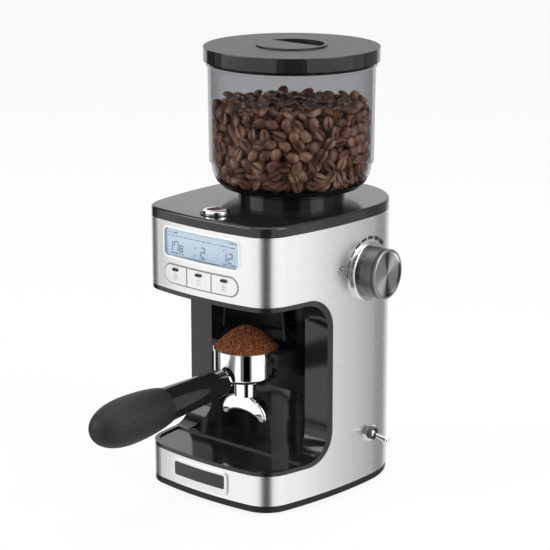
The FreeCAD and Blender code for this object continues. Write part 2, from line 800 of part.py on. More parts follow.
def lcd_panel():
    slab = block(-BODY_WIDTH, BODY_WIDTH, PANEL_Y, BOARD_Y, SKIN_BOTTOM, SKIN_TOP)
    return slab.common(lcd_bar(LCD_EDGE + SEAT_GAP))


def display_board():
    half = DISPLAY_BOARD_WIDTH / 2
    low = BOARD_TOP - DISPLAY_BOARD_HEIGHT
    board = block(-half, half, BOARD_Y, BOARD_Y + BOARD_T, low, BOARD_TOP)
    pieces = [board.common(plan_prism(RIM_INSET, low, BOARD_TOP))]
    side = SWITCH_SIDE / 2
    for x in button_centres():
        pieces.append(block(x - side, x + side, BOARD_Y - SWITCH_T, BOARD_Y,
                            BUTTONS_Z - side, BUTTONS_Z + side))
    holes = [screw_hole(place + BACK * BOARD_T, BACK, BOARD_T + POST_R) for place in display_post_places()]
    return fuse(pieces).cut(Part.makeCompound(holes))


def button_edges():
    # left and right ends of each of the three buttons
    outer = BUTTONS_WIDTH / 2 - BUTTON_FRAME_EDGE
    gap = BUTTON_DIVIDER / 2
    return [(-outer, -BUTTON_SPLIT - gap), (gap - BUTTON_SPLIT, BUTTON_SPLIT - gap),
            (BUTTON_SPLIT + gap, outer)]


def button_centres():
    return [(left + right) / 2 for left, right in button_edges()]


def button_slab(left, right):
    half = BUTTONS_HEIGHT
    return block(left, right, -BODY_DEPTH, 0, BUTTONS_Z - half, BUTTONS_Z + half)


def button_frame():
    frame = buttons_bar(0).cut(buttons_bar(BUTTON_FRAME_EDGE))
    bars = [frame]
    for x in (-BUTTON_SPLIT, BUTTON_SPLIT):
        half = BUTTON_DIVIDER / 2
        bars.append(buttons_bar(BUTTON_FRAME_EDGE / 2).common(button_slab(x - half, x + half)))
    return front_skin_piece(0, CHASSIS_INNER, fuse(bars))


def front_button(index):
    left, right = button_edges()[index]
    gap = SLIDE_GAP / 2 + RUN_FIT
    inner = buttons_bar(BUTTON_FRAME_EDGE + gap).common(button_slab(left + gap, right - gap))
    cap = front_skin_piece(BUTTON_PROUD, CHASSIS_INNER, inner)
    x = button_centres()[index]
    stem_end = BOARD_Y - SWITCH_T - BUTTON_TRAVEL - SLIDE_GAP
    side = BUTTON_STEM / 2
    stem = block(x - side, x + side, FRONT_Y + SKIN_T, stem_end, BUTTONS_Z - side, BUTTONS_Z + side)
    outside = plan_prism(CHASSIS_INNER - PAST, SKIN_BOTTOM, SKIN_TOP)
    return fuse([cap, stem.common(outside)])


# Name plate

def name_plate():
    bar = front_bar(PLATE_WIDTH, PLATE_HEIGHT, PLATE_CORNER_R, PLATE_Z, PLATE_X)
    plate = front_skin_piece(PLATE_T + RUN_FIT, -RUN_FIT, bar)
    pocket = front_skin_piece(PLATE_T + PAST, -(PLATE_T - INLAY_SINK), inlay_bar(-RUN_FIT))
    return plate.cut(pocket)


def inlay_bar(shrink):
    width = PLATE_WIDTH - 2 * INLAY_MARGIN - 2 * shrink
    z = PLATE_Z + PLATE_HEIGHT / 2 - INLAY_DROP - INLAY_HEIGHT / 2
    return front_bar(width, INLAY_HEIGHT - 2 * shrink, PLATE_CORNER_R / 2, z, PLATE_X)


def name_inlay():
    return front_skin_piece(PLATE_T + RUN_FIT, -(PLATE_T - INLAY_SINK), inlay_bar(0))


# Gear deck, gear case and gears

def deck_holes():
    holes = [rod(BUSH_R + RUN_FIT, DECK_T + 2 * PAST, V(0, BURR_Y, BAY_TOP - PAST))]
    holes.append(rod(PINION_R + PAST, DECK_T + 2 * PAST, V(0, MOTOR_Y, BAY_TOP - PAST)))
    for place in motor_screw_places():
        holes.append(screw_hole(place, UP))
    return holes


def motor_screw_places():
    x = MOTOR_SCREW_R * math.cos(MOTOR_SCREW_ANGLE)
    y = MOTOR_Y + MOTOR_SCREW_R * math.sin(MOTOR_SCREW_ANGLE)
    return [V(-x, y, DECK_TOP), V(x, y, DECK_TOP)]


def gear_deck():
    # deck plate with the walls of the gear case cast on
    plate = plan_prism(RIM_INSET, BAY_TOP, DECK_TOP)
    plate = plate.common(block(-BODY_WIDTH, BODY_WIDTH, DECK_FRONT_Y, BODY_DEPTH, 0, SKIN_TOP))
    plate = plate.cut(Part.makeCompound(deck_holes()))
    return fuse([plate, gear_case_walls()])


def gear_case_walls():
    gear_r = BURR_GEAR_R + ADDENDUM * GEAR_MODULE + GEAR_CASE_GAP
    pinion_r = PINION_R + ADDENDUM * GEAR_MODULE + GEAR_CASE_GAP
    gear_at = V(0, BURR_Y, DECK_TOP)
    pinion_at = V(0, MOTOR_Y, DECK_TOP)
    outer = rod(gear_r + GEAR_CASE_T, GEAR_CASE_HEIGHT, gear_at)
    outer = outer.fuse(rod(pinion_r + GEAR_CASE_T, GEAR_CASE_HEIGHT, pinion_at))
    inner = rod(gear_r, GEAR_CASE_HEIGHT, gear_at).fuse(rod(pinion_r, GEAR_CASE_HEIGHT, pinion_at))
    return outer.removeSplitter().cut(inner)


def involute(angle):
    return math.tan(angle) - angle


def gear_outline(teeth, turn):
    pitch_r = GEAR_MODULE * teeth / 2
    base_r = pitch_r * math.cos(PRESSURE_ANGLE)
    tip_r = pitch_r + ADDENDUM * GEAR_MODULE
    root_r = pitch_r - DEDENDUM * GEAR_MODULE
    half_tooth = math.pi / (2 * teeth) - BACKLASH / (2 * pitch_r) + involute(PRESSURE_ANGLE)

    def flank(radius):
        if radius <= base_r:
            return half_tooth
        return half_tooth - involute(math.acos(base_r / radius))

    def at(radius, angle):
        return V(radius * math.cos(angle), radius * math.sin(angle), 0)

    start_r = max(base_r, root_r)
    radii = [start_r + (tip_r - start_r) * index / FLANK_STEPS for index in range(FLANK_STEPS + 1)]
    edges = []
    for tooth in range(teeth):
        middle = turn + 2 * math.pi * tooth / teeth
        following = middle + 2 * math.pi / teeth
        rising = [at(radius, middle - flank(radius)) for radius in radii]
        falling = [at(radius, middle + flank(radius)) for radius in reversed(radii)]
        for points in (rising, falling):
            curve = Part.BSplineCurve()
            curve.interpolate(points)
            if points is rising and start_r > root_r:
                edges.append(Part.makeLine(at(root_r, middle - half_tooth), points[0]))
            edges.append(curve.toShape())
            if points is rising:
                edges.append(Part.Arc(rising[-1], at(tip_r, middle), falling[0]).toShape())
        if start_r > root_r:
            edges.append(Part.makeLine(falling[-1], at(root_r, middle + half_tooth)))
        gap_middle = at(root_r, middle + math.pi / teeth)
        root_start = at(root_r, middle + flank(root_r))
        edges.append(Part.Arc(root_start, gap_middle, at(root_r, following - flank(root_r))).toShape())
    return Part.Face(Part.Wire(edges))


def spur_gear(teeth, turn, axis_y, bore):
    gear = gear_outline(teeth, turn).extrude(UP * GEAR_WIDTH)
    gear.translate(V(0, axis_y, GEAR_Z))
    return gear.cut(rod(bore, GEAR_WIDTH, V(0, axis_y, GEAR_Z)))


def burr_gear():
    # a tooth points at the motor axis
    return spur_gear(BURR_GEAR_TEETH, math.pi / 2, BURR_Y, SHAFT_R + RUN_FIT)


def motor_pinion():
    # a gap points back at the burr axis
    return spur_gear(PINION_TEETH, math.pi / PINION_TEETH - math.pi / 2, MOTOR_Y, MOTOR_SHAFT_R + RUN_FIT)


def shaft_bushes():
    lower = tube(BUSH_R, SHAFT_R + RUN_FIT, DECK_T + PAST, V(0, BURR_Y, BAY_TOP))
    upper = tube(BEARING_R, SHAFT_R + RUN_FIT, BEARING_HEIGHT, V(0, BURR_Y, BEARING_Z))
    return Part.makeCompound([lower, upper])


def burr_shaft():
    bottom = BAY_TOP + SLIDE_GAP
    return rod(SHAFT_R, CONE_TOP + BURR_NUT_HEIGHT - bottom, V(0, BURR_Y, bottom))


# Motor

def motor_can():
    foot = V(0, MOTOR_Y, MOTOR_BOTTOM)
    can = rod(MOTOR_R, MOTOR_LENGTH, foot)
    can = can.cut(rod(MOTOR_R - MOTOR_WALL, MOTOR_LENGTH - 2 * MOTOR_CAP_T, foot + UP * MOTOR_CAP_T))
    cuts = [rod(MOTOR_SHAFT_R + RUN_FIT, MOTOR_LENGTH + 2 * PAST, foot - UP * PAST)]
    for place in motor_screw_places():
        cuts.append(screw_hole(place, UP))
    return can.cut(Part.makeCompound(cuts))


def motor_magnets():
    outer = MOTOR_R - MOTOR_WALL
    z = MOTOR_BOTTOM + (MOTOR_LENGTH - ROTOR_STACK) / 2
    ring = tube(outer, outer - MAGNET_T, ROTOR_STACK, V(0, MOTOR_Y, z))
    slot = block(-outer / 2, outer / 2, 0, BODY_DEPTH, MOTOR_BOTTOM, MOTOR_TOP)
    return Part.makeCompound(ring.cut(slot).Solids)


def motor_rotor():
    stack_z = MOTOR_BOTTOM + (MOTOR_LENGTH - ROTOR_STACK) / 2
    stack_r = MOTOR_R - MOTOR_WALL - MAGNET_T - ROTOR_GAP
    stack = rod(stack_r, ROTOR_STACK, V(0, MOTOR_Y, stack_z))
    slot_start = stack_r * ROTOR_SLOT_SHARE
    slot = block(slot_start, stack_r + PAST, MOTOR_Y - PAST, MOTOR_Y + PAST, MOTOR_BOTTOM, MOTOR_TOP)
    stack = stack.cut(Part.makeCompound(around(slot, ROTOR_SLOTS, MOTOR_Y)))
    commutator = rod(stack_r / 2, MAGNET_T * 2, V(0, MOTOR_Y, stack_z - MAGNET_T * 2))
    bottom = MOTOR_BOTTOM - PAST
    shaft = rod(MOTOR_SHAFT_R, GEAR_Z + GEAR_WIDTH + PAST - bottom, V(0, MOTOR_Y, bottom))
    return fuse([stack, commutator, shaft])


# Grinding chamber, burrs and sweeper

def exit_z():
    return CHAMBER_FLOOR


def exit_face_y():
    return BURR_Y - CHAMBER_R - EXIT_REACH


def grinding_chamber():
    foot = V(0, BURR_Y, CHAMBER_Z)
    cup = rod(CHAMBER_R, CHAMBER_HEIGHT, foot)
    half = EXIT_WIDTH / 2 + EXIT_WALL
    z = exit_z()
    lip = block(-half, half, exit_face_y(), BURR_Y, z - EXIT_WALL, z + EXIT_HEIGHT + EXIT_WALL)
    cup = fuse([cup, lip])
    cup = cup.cut(rod(CHAMBER_BORE_R, CHAMBER_HEIGHT, foot + UP * CHAMBER_FLOOR_T))
    seat = rod(BEARING_R + BEARING_SEAT_T, BEARING_HEIGHT - PAST, foot)
    cup = fuse([cup, seat])
    cuts = [rod(BEARING_R + RUN_FIT, BEARING_HEIGHT + PAST, foot - UP * SEAT_GAP)]
    window = EXIT_WIDTH / 2
    cuts.append(block(-window, window, exit_face_y() - PAST, BURR_Y - CHAMBER_BORE_R * 0.8, z, z + EXIT_HEIGHT))
    return cup.cut(Part.makeCompound(cuts))


def sweeper():
    disc_r = CHAMBER_BORE_R - PAST
    disc = rod(disc_r, SWEEPER_T, V(0, BURR_Y, SWEEPER_Z))
    paddle = block(CONE_BOTTOM_R + PAST, disc_r, BURR_Y - PADDLE_T / 2, BURR_Y + PADDLE_T / 2,
                   SWEEPER_Z, SWEEPER_Z + PADDLE_HEIGHT)
    wheel = fuse([disc] + around(paddle, SWEEPER_PADDLES, BURR_Y))
    return wheel.cut(rod(SHAFT_R + RUN_FIT, SWEEPER_T + 2 * PAST, V(0, BURR_Y, SWEEPER_Z - PAST)))


def flute(radius_low, radius_high, z_low, z_high):
    # a slanted groove, laid along a cone's side
    low = V(radius_low, BURR_Y, z_low)
    high = V(radius_high, BURR_Y, z_high)
    slope = high - low
    length = slope.Length + 4 * PAST
    slope.normalize()
    return rod(FLUTE_DEPTH / 2, length, low - slope * 2 * PAST, slope)


def cone_burr():
    cone = Part.makeCone(CONE_BOTTOM_R, CONE_TOP_R, CONE_HEIGHT, V(0, BURR_Y, CONE_Z))
    grooves = around(flute(CONE_BOTTOM_R, CONE_TOP_R, CONE_Z, CONE_TOP), CONE_FLUTES, BURR_Y)
    cone = cone.cut(Part.makeCompound(grooves))
    return cone.cut(rod(SHAFT_R + RUN_FIT, CONE_HEIGHT, V(0, BURR_Y, CONE_Z)))


def hexagon(centre, corner_r, along, across):
    corners = []
    for index in range(7):
        angle = math.pi * index / 3
        corners.append(centre + along * (corner_r * math.cos(angle)) + across * (corner_r * math.sin(angle)))
    return Part.Face(Part.makePolygon(corners))


def burr_nut():
    foot = V(0, BURR_Y, CONE_TOP)
    nut = hexagon(foot, BURR_NUT_R, RIGHT, BACK).extrude(UP * BURR_NUT_HEIGHT)
    return nut.cut(rod(SHAFT_R + RUN_FIT, BURR_NUT_HEIGHT, foot))


def cone_radius_at(z):
    return CONE_BOTTOM_R + (CONE_TOP_R - CONE_BOTTOM_R) * (z - CONE_Z) / CONE_HEIGHT


def ring_burr():
    low_r = cone_radius_at(RING_BURR_Z) + BURR_GAP
    high_r = RING_MOUTH_R
    ring = turned([(low_r, RING_BURR_Z), (RING_BURR_R, RING_BURR_Z), (RING_BURR_R, RING_BURR_TOP),
                   (high_r, RING_BURR_TOP)], BURR_Y)
    grooves = around(flute(low_r, high_r, RING_BURR_Z, RING_BURR_TOP), CONE_FLUTES, BURR_Y)
    return ring.cut(Part.makeCompound(grooves))


def burr_carrier():
    spigot_r = CHAMBER_BORE_R - RUN_FIT
    disc = turned([(CARRIER_BORE_R, RING_BURR_TOP), (spigot_r, RING_BURR_TOP), (spigot_r, CARRIER_Z),
                   (CARRIER_R, CARRIER_Z), (CARRIER_R, CARRIER_TOP), (CARRIER_BORE_R, CARRIER_TOP)], BURR_Y)
    half_angle = 360.0 / RACK_TEETH * (RACK_CUT_TEETH + 1) / 2
    start = math.degrees(DIAL_ANGLE) - half_angle
    inner = CHAMBER_R + SLIDE_GAP
    rack_outer = RACK_PITCH_R + RACK_WIDTH / 2
    skirt = turned([(inner, RACK_ROOT_Z), (rack_outer, RACK_ROOT_Z), (rack_outer, RACK_ROOT_Z + RACK_FLANGE_T),
                    (CARRIER_R, RACK_ROOT_Z + RACK_FLANGE_T), (CARRIER_R, CARRIER_TOP), (inner, CARRIER_TOP)],
                   BURR_Y, 2 * half_angle, start)
    pieces = [disc, skirt]
    for index in range(RACK_CUT_TEETH):
        step = index - (RACK_CUT_TEETH - 1) / 2
        angle = math.degrees(DIAL_ANGLE) + 360.0 / RACK_TEETH * step
        tooth = rack_tooth(rack_outer)
        tooth.rotate(V(0, BURR_Y, 0), UP, angle)
        pieces.append(tooth)
    return fuse(pieces)


def rack_tooth(rack_outer):
    inner = RACK_PITCH_R - RACK_WIDTH / 2
    root = RACK_TOOTH_ROOT / 2
    tip = RACK_TOOTH_TIP / 2
    high = RACK_ROOT_Z + PAST
    corners = [V(inner, BURR_Y - root, high), V(inner, BURR_Y + root, high),
               V(inner, BURR_Y + root, RACK_ROOT_Z), V(inner, BURR_Y + tip, RACK_TIP_Z),
               V(inner, BURR_Y - tip, RACK_TIP_Z), V(inner, BURR_Y - root, RACK_ROOT_Z)]
    return Part.Face(Part.makePolygon(corners + corners[:1])).extrude(V(rack_outer - inner - PAST, 0, 0))


# Grind dial

def dial_pinion():
    # pinion and shaft in one, a tooth of the pinion points up at the rack
    tip_r = DIAL_PINION_R + DIAL_TIP_RISE
    root_r = DIAL_PINION_R - DIAL_ROOT_SINK
    width = RACK_WIDTH - 2 * PAST
    start = RACK_PITCH_R - width / 2
    pieces = [rod(root_r, width, dial_point(start), DIAL_AXIS)]
    side = V(-DIAL_AXIS.y, DIAL_AXIS.x, 0)
    base = dial_point(start)
    for index in range(DIAL_PINION_TEETH):
        half_root = side * (DIAL_TOOTH_ROOT / 2)
        half_tip = side * (DIAL_TOOTH_TIP / 2)
        low = UP * (root_r - PAST)
        high = UP * tip_r
        corners = [base - half_root + low, base + half_root + low,
                   base + half_tip + high, base - half_tip + high]
        tooth = Part.Face(Part.makePolygon(corners + corners[:1])).extrude(DIAL_AXIS * width)
        tooth.rotate(base, DIAL_AXIS, 360.0 * index / DIAL_PINION_TEETH)
        pieces.append(tooth)
    reach = DIAL_SIDE + DIAL_REACH - DIAL_FACE_SINK - DIAL_FACE_T
    pieces.append(rod(DIAL_SHAFT_R, reach - start, base, DIAL_AXIS))
    return fuse(pieces)


def dial_bush():
    sides = (-DIAL_BUSH_FLANGE_R, DIAL_BUSH_FLANGE_R)
    flange_end = min(dial_surface(CHASSIS_INNER, beside) for beside in sides) - RUN_FIT
    flange_start = flange_end - DIAL_BUSH_FLANGE_T
    sleeve = rod(DIAL_BUSH_R, DIAL_SIDE - flange_start, dial_point(flange_start), DIAL_AXIS)
    flange = rod(DIAL_BUSH_FLANGE_R, DIAL_BUSH_FLANGE_T, dial_point(flange_start), DIAL_AXIS)
    bore = rod(DIAL_SHAFT_R + RUN_FIT, BODY_WIDTH, dial_point(0), DIAL_AXIS)
    return fuse([sleeve, flange]).cut(bore)


def dial_bezel():
    outer = rod(DIAL_BEZEL_R, DIAL_BEZEL_T + 2 * PAST, dial_point(DIAL_SIDE - 2 * PAST), DIAL_AXIS)
    edge_at = dial_point(DIAL_SIDE + DIAL_BEZEL_T)

    def front_edge(edge):
        return abs((edge.BoundBox.Center - edge_at).dot(DIAL_AXIS)) < 1e-3

    outer = rounded(outer, PAST, front_edge)
    hole = rod(DIAL_R + SLIDE_GAP, BODY_WIDTH, dial_point(0), DIAL_AXIS)
    body = plan_prism(-RUN_FIT, DIAL_Z - 2 * DIAL_BEZEL_R, DIAL_Z + DIAL_BEZEL_R)
    return outer.cut(hole).cut(body)


def dial_knob():
    start = DIAL_SIDE + DIAL_STANDOFF
    end = DIAL_SIDE + DIAL_REACH
    knob = rod(DIAL_R, end - start, dial_point(start), DIAL_AXIS)
    edge_at = dial_point(end)

    def front_edge(edge):
        return abs((edge.BoundBox.Center - edge_at).dot(DIAL_AXIS)) < 1e-3

    knob = rounded(knob, DIAL_RIM_T / 2, front_edge)
    face = end - DIAL_FACE_SINK
    knob = knob.cut(rod(DIAL_R - DIAL_RIM_T, DIAL_FACE_SINK + PAST, dial_point(face), DIAL_AXIS))
    back = face - DIAL_FACE_T
    hollow = tube(DIAL_R - DIAL_RIM_T, 2 * DIAL_SHAFT_R, back - start, dial_point(start), DIAL_AXIS)
    bore = rod(DIAL_SHAFT_R + RUN_FIT, back - start, dial_point(start), DIAL_AXIS)
    return knob.cut(hollow).cut(bore)


# Grounds chute, shroud and cradle

def grounds_chute():
    top = exit_z() + EXIT_HEIGHT + EXIT_WALL
    bottom = CEILING_Z - CHUTE_DROP
    half = EXIT_WIDTH / 2 + EXIT_WALL
    pipe = rod(CHUTE_R, top - bottom, V(0, CUP_Y, bottom))
    duct = block(-half, half, CUP_Y, exit_face_y(), exit_z() - EXIT_WALL, top)
    outer = fuse([pipe, duct])
    hollow = rod(CHUTE_R - CHUTE_WALL, top - bottom - EXIT_WALL, V(0, CUP_Y, bottom))
    window = EXIT_WIDTH / 2
    run = block(-window, window, CUP_Y, exit_face_y(), exit_z(), exit_z() + EXIT_HEIGHT)
    chute = outer.cut(hollow.fuse(run))
    collar = tube(CHUTE_R + 2 * CHUTE_WALL, CHUTE_R - CHUTE_WALL / 2, CHUTE_WALL, V(0, CUP_Y, BAY_TOP))
    return fuse([chute, collar])


def chute_shroud():
    low = CEILING_Z - SHROUD_DROP
    profile = [(SHROUD_BOTTOM_R, low), (SHROUD_BOTTOM_R + SHROUD_T, low), (SHROUD_TOP_R + SHROUD_T, CEILING_Z),
               (SHROUD_TOP_R, CEILING_Z)]
    return turned(profile, CUP_Y, 2 * SHROUD_HALF_ANGLE, 90 - SHROUD_HALF_ANGLE)


def cradle_arm():
    # side outline of one arm: a thin nose in front that deepens towards the niche wall
    back_y = NICHE_Y + NICHE_R - LEDGE_T
    nose_low = EAR_TOP_Z - EAR_T / 2 - CRADLE_NOSE / 2
    nose_high = nose_low + CRADLE_NOSE
    root_low = nose_high - CRADLE_ROOT
    bend_y = CUP_Y + CUP_R / 2
    p = [V(ARM_X, CRADLE_FRONT_Y, nose_low), V(ARM_X, bend_y, nose_low), V(ARM_X, back_y, root_low),
         V(ARM_X, back_y, nose_high), V(ARM_X, CRADLE_FRONT_Y, nose_high)]
    sag = V(ARM_X, (bend_y + back_y) / 2 + CRADLE_NOSE / 4, (nose_low + root_low) / 2 + CRADLE_NOSE / 4)
    edges = [Part.makeLine(p[0], p[1]), Part.Arc(p[1], sag, p[2]).toShape(), Part.makeLine(p[2], p[3]),
             Part.makeLine(p[3], p[4]), Part.makeLine(p[4], p[0])]
    arm = Part.Face(Part.Wire(edges)).extrude(V(CRADLE_ARM_T, 0, 0))
    groove = block(ARM_X - PAST, ARM_X + EAR_REACH, -BODY_DEPTH, CUP_Y + EAR_LENGTH / 2 + SLIDE_GAP,
                   EAR_TOP_Z - EAR_T - SLIDE_GAP, EAR_TOP_Z + SLIDE_GAP)
    return arm.cut(groove)


def cradle():
    arm = cradle_arm()
    nose_low = EAR_TOP_Z - EAR_T / 2 - CRADLE_NOSE / 2
    half = ARM_X + CRADLE_ARM_T
    back_y = NICHE_Y + NICHE_R
    back = block(-half, half, back_y - CRADLE_BACK_T - NICHE_T, back_y, nose_low + CRADLE_NOSE - CRADLE_ROOT,
                 nose_low + CRADLE_NOSE)
    body = fuse([arm, arm.mirror(V(0, 0, 0), RIGHT), back])
    return body.common(niche(NICHE_R - RUN_FIT, FLOOR_Z + LEDGE_HEIGHT, CEILING_Z))


# Portafilter

def on_cup_axis(z):
    return V(0, CUP_Y, z)


def tilted(shape):
    # the handle hangs down a little towards its end
    shape.rotate(V(0, CUP_Y - HANDLE_START, HANDLE_Z), RIGHT, HANDLE_TILT)
    return shape


def cup():
    body = rod(CUP_R, CUP_HEIGHT, on_cup_axis(CUP_BOTTOM_Z))
    body = rounded(body, CUP_EDGE_R, lambda e: lies_at(e, CUP_BOTTOM_Z))
    ears = []
    for side in (-1, 1):
        inner = CUP_BORE_R + PAST / 2
        outer = CUP_R + EAR_REACH - SLIDE_GAP
        x0, x1 = sorted((side * inner, side * outer))
        ears.append(block(x0, x1, CUP_Y - EAR_LENGTH / 2, CUP_Y + EAR_LENGTH / 2, EAR_TOP_Z - EAR_T, EAR_TOP_Z))
    tang_start = CUP_Y - CUP_BORE_R
    tang_end = CUP_Y - HANDLE_START - TANG_LENGTH
    tang = tilted(rod(TANG_R, tang_start - tang_end, V(0, tang_end, HANDLE_Z), BACK))
    neck = rod(SPOUT_NECK_R, CUP_EDGE_R, on_cup_axis(CUP_BOTTOM_Z))
    body = fuse([body, tang, neck] + ears)
    bore = rod(CUP_BORE_R, CUP_HEIGHT, on_cup_axis(CUP_BOTTOM_Z + CUP_FLOOR_T))
    outlet = rod(OUTLET_R, CUP_HEIGHT, on_cup_axis(CUP_BOTTOM_Z - PAST))
    return body.cut(bore).cut(outlet)


def filter_basket():
    bottom = CUP_TOP_Z - BASKET_DEPTH
    inner = BASKET_R - BASKET_WALL
    top = CUP_TOP_Z + BASKET_RIM_T
    return turned([(0, bottom), (BASKET_R, bottom), (BASKET_R, CUP_TOP_Z), (CUP_R, CUP_TOP_Z), (CUP_R, top),
                   (inner, top), (inner, bottom + BASKET_WALL), (0, bottom + BASKET_WALL)], CUP_Y)


def coffee_grounds():
    bottom = CUP_TOP_Z - BASKET_DEPTH + BASKET_WALL
    radius = BASKET_R - BASKET_WALL - SEAT_GAP
    level = CUP_TOP_Z + BASKET_RIM_T
    fill = rod(radius, level - bottom, on_cup_axis(bottom))
    heap_r = arc_radius(radius, HEAP_HEIGHT)
    dome = Part.makeSphere(heap_r, on_cup_axis(level + HEAP_HEIGHT - heap_r))
    dome = dome.common(rod(radius, HEAP_HEIGHT + PAST, on_cup_axis(level)))
    return fuse([fill, dome])


def spout_section(turn, wall):
    # flat-sided section of the spout with rounded edges, square to the arch
    share = math.sin(turn)
    tall = SPOUT_TIP_HEIGHT + (SPOUT_TOP_HEIGHT - SPOUT_TIP_HEIGHT) * share - 2 * wall
    wide = SPOUT_TIP_WIDTH + (SPOUT_TOP_WIDTH - SPOUT_TIP_WIDTH) * share - 2 * wall
    plate = block(-tall / 2, tall / 2, -wide / 2, wide / 2, 0, 1)
    plate = rounded(plate, SPOUT_EDGE_R - wall, lambda e: runs_along(e, UP))
    wire = min(plate.Faces, key=lambda face: face.BoundBox.ZMax).OuterWire
    heading = math.degrees(math.atan2(SPOUT_REACH * math.sin(turn), SPOUT_RISE * math.cos(turn)))
    wire.rotate(V(0, 0, 0), BACK, -heading)
    wire.translate(V(SPOUT_REACH * math.cos(turn), CUP_Y, SPOUT_AXIS_Z + SPOUT_RISE * math.sin(turn)))
    return wire


def spout_pipe(wall):
    # an arch of pipe that thins towards both tips
    turns = [math.pi * index / SPOUT_STEPS for index in range(SPOUT_STEPS + 1)]
    return Part.makeLoft([spout_section(turn, wall) for turn in turns], True)


def twin_spout():
    arch_mid = SPOUT_AXIS_Z + SPOUT_RISE
    neck_z = arch_mid + SPOUT_TOP_HEIGHT / 2 - SPOUT_WALL
    neck = rod(SPOUT_NECK_R, CUP_BOTTOM_Z - neck_z, on_cup_axis(neck_z))
    drain = rod(OUTLET_R - PAST, CUP_BOTTOM_Z - arch_mid, on_cup_axis(arch_mid))
    return fuse([spout_pipe(0), neck]).cut(spout_pipe(SPOUT_WALL)).cut(drain)


def handle_neck():
    start = CUP_Y - HANDLE_START
    end = start - NECK_LENGTH
    neck = Part.makeCone(NECK_START_R, NECK_END_R, NECK_LENGTH, V(0, start, HANDLE_Z), BACK * -1)
    core = rod(GRIP_CORE_R, GRIP_CORE_LENGTH + PAST, V(0, end + PAST, HANDLE_Z), BACK * -1)
    socket = rod(TANG_R + RUN_FIT, TANG_LENGTH + RUN_FIT, V(0, start, HANDLE_Z), BACK * -1)
    return tilted(fuse([neck, core]).cut(socket))


def handle_grip():
    start = CUP_Y - HANDLE_START - NECK_LENGTH
    end = start - GRIP_LENGTH
    widest = start - GRIP_LENGTH * GRIP_WIDEST_AT

    def at(y, radius):
        return V(0, y, HANDLE_Z + radius)

    front = Part.BSplineCurve()
    front.interpolate([at(start, NECK_END_R + PAST), at((start + widest) / 2, GRIP_R * GRIP_FRONT_SHARE),
                       at(widest, GRIP_R), at((2 * end + widest) / 3, GRIP_R * GRIP_TAIL_SHARE), at(end, 0)],
                      InitialTangent=V(0, -1, 0.25), FinalTangent=V(0, 0, -1))
    edges = [front.toShape(), Part.makeLine(at(end, 0), at(start, 0)),
             Part.makeLine(at(start, 0), at(start, NECK_END_R + PAST))]
    grip = Part.Face(Part.Wire(edges)).revolve(at(start, 0), BACK, 360)
    bore = rod(GRIP_CORE_R + RUN_FIT, GRIP_CORE_LENGTH + RUN_FIT, V(0, start, HANDLE_Z), BACK * -1)
    return tilted(grip.cut(bore))


# Hopper, beans and lid

def hopper_socket():
    bore_r = SOCKET_R - SOCKET_WALL
    edge = PAST / 2
    return turned([(SOCKET_BORE_R, SOCKET_BOTTOM), (SOCKET_R, SOCKET_BOTTOM), (SOCKET_R, COVER_TOP),
                   (COLLAR_R, COVER_TOP), (COLLAR_R, COLLAR_TOP - edge), (COLLAR_R - edge, COLLAR_TOP),
                   (bore_r, COLLAR_TOP), (bore_r, SOCKET_BOTTOM + SOCKET_FLOOR_T),
                   (SOCKET_BORE_R, SOCKET_BOTTOM + SOCKET_FLOOR_T)], BURR_Y)


def hopper_base():
    neck_top = HOPPER_Z + HOPPER_NECK_RISE
    seat_r = HOPPER_BASE_R - GLASS_T - PAST
    funnel_low = GLASS_Z - HOPPER_FUNNEL_DROP
    spigot_low = HOPPER_Z - SPIGOT_LENGTH
    return turned([(THROAT_R, spigot_low), (SPIGOT_R, spigot_low), (SPIGOT_R, HOPPER_Z),
                   (COLLAR_R, HOPPER_Z), (COLLAR_R, neck_top),
                   (HOPPER_BASE_R - 2 * GLASS_T, GLASS_Z - 2 * GLASS_T),
                   (HOPPER_BASE_R, GLASS_Z), (seat_r, GLASS_Z), (THROAT_R, funnel_low)], BURR_Y)


def hopper_profile(shrink):
    # half outline of the clear wall, set in by a distance from its outside
    bowl = BOWL_R - shrink
    step_z = BOWL_TOP + HOPPER_STEP
    bulge = HOPPER_BASE_R - shrink + (BOWL_R - HOPPER_BASE_R) * BOWL_BULGE_OUT
    return {
        "foot": V(HOPPER_BASE_R - shrink, BURR_Y, GLASS_Z),
        "bulge": V(bulge, BURR_Y, GLASS_Z + BOWL_RISE * BOWL_BULGE_UP),
        "bowl": V(bowl, BURR_Y, BOWL_TOP),
        "step": V(HOPPER_R - shrink, BURR_Y, step_z),
        "wall": V(HOPPER_TOP_R - shrink, BURR_Y, HOPPER_RIM_Z - HOPPER_STEP),
        "flare": V(RIM_R - shrink, BURR_Y, HOPPER_RIM_Z),
        "rim": V(RIM_R - shrink, BURR_Y, HOPPER_TOP),
    }


def profile_edges(points):
    return [Part.Arc(points["foot"], points["bulge"], points["bowl"]).toShape(),
            Part.makeLine(points["bowl"], points["step"]), Part.makeLine(points["step"], points["wall"]),
            Part.makeLine(points["wall"], points["flare"]), Part.makeLine(points["flare"], points["rim"])]


def hopper_wall():
    outer = hopper_profile(0)
    inner = hopper_profile(GLASS_T)
    edges = profile_edges(outer) + profile_edges(inner)
    edges.append(Part.makeLine(outer["rim"], inner["rim"]))
    edges.append(Part.makeLine(outer["foot"], inner["foot"]))
    outline = Part.Wire(Part.__sortEdges__(edges))
    return Part.Face(outline).revolve(V(0, BURR_Y, 0), UP, 360)


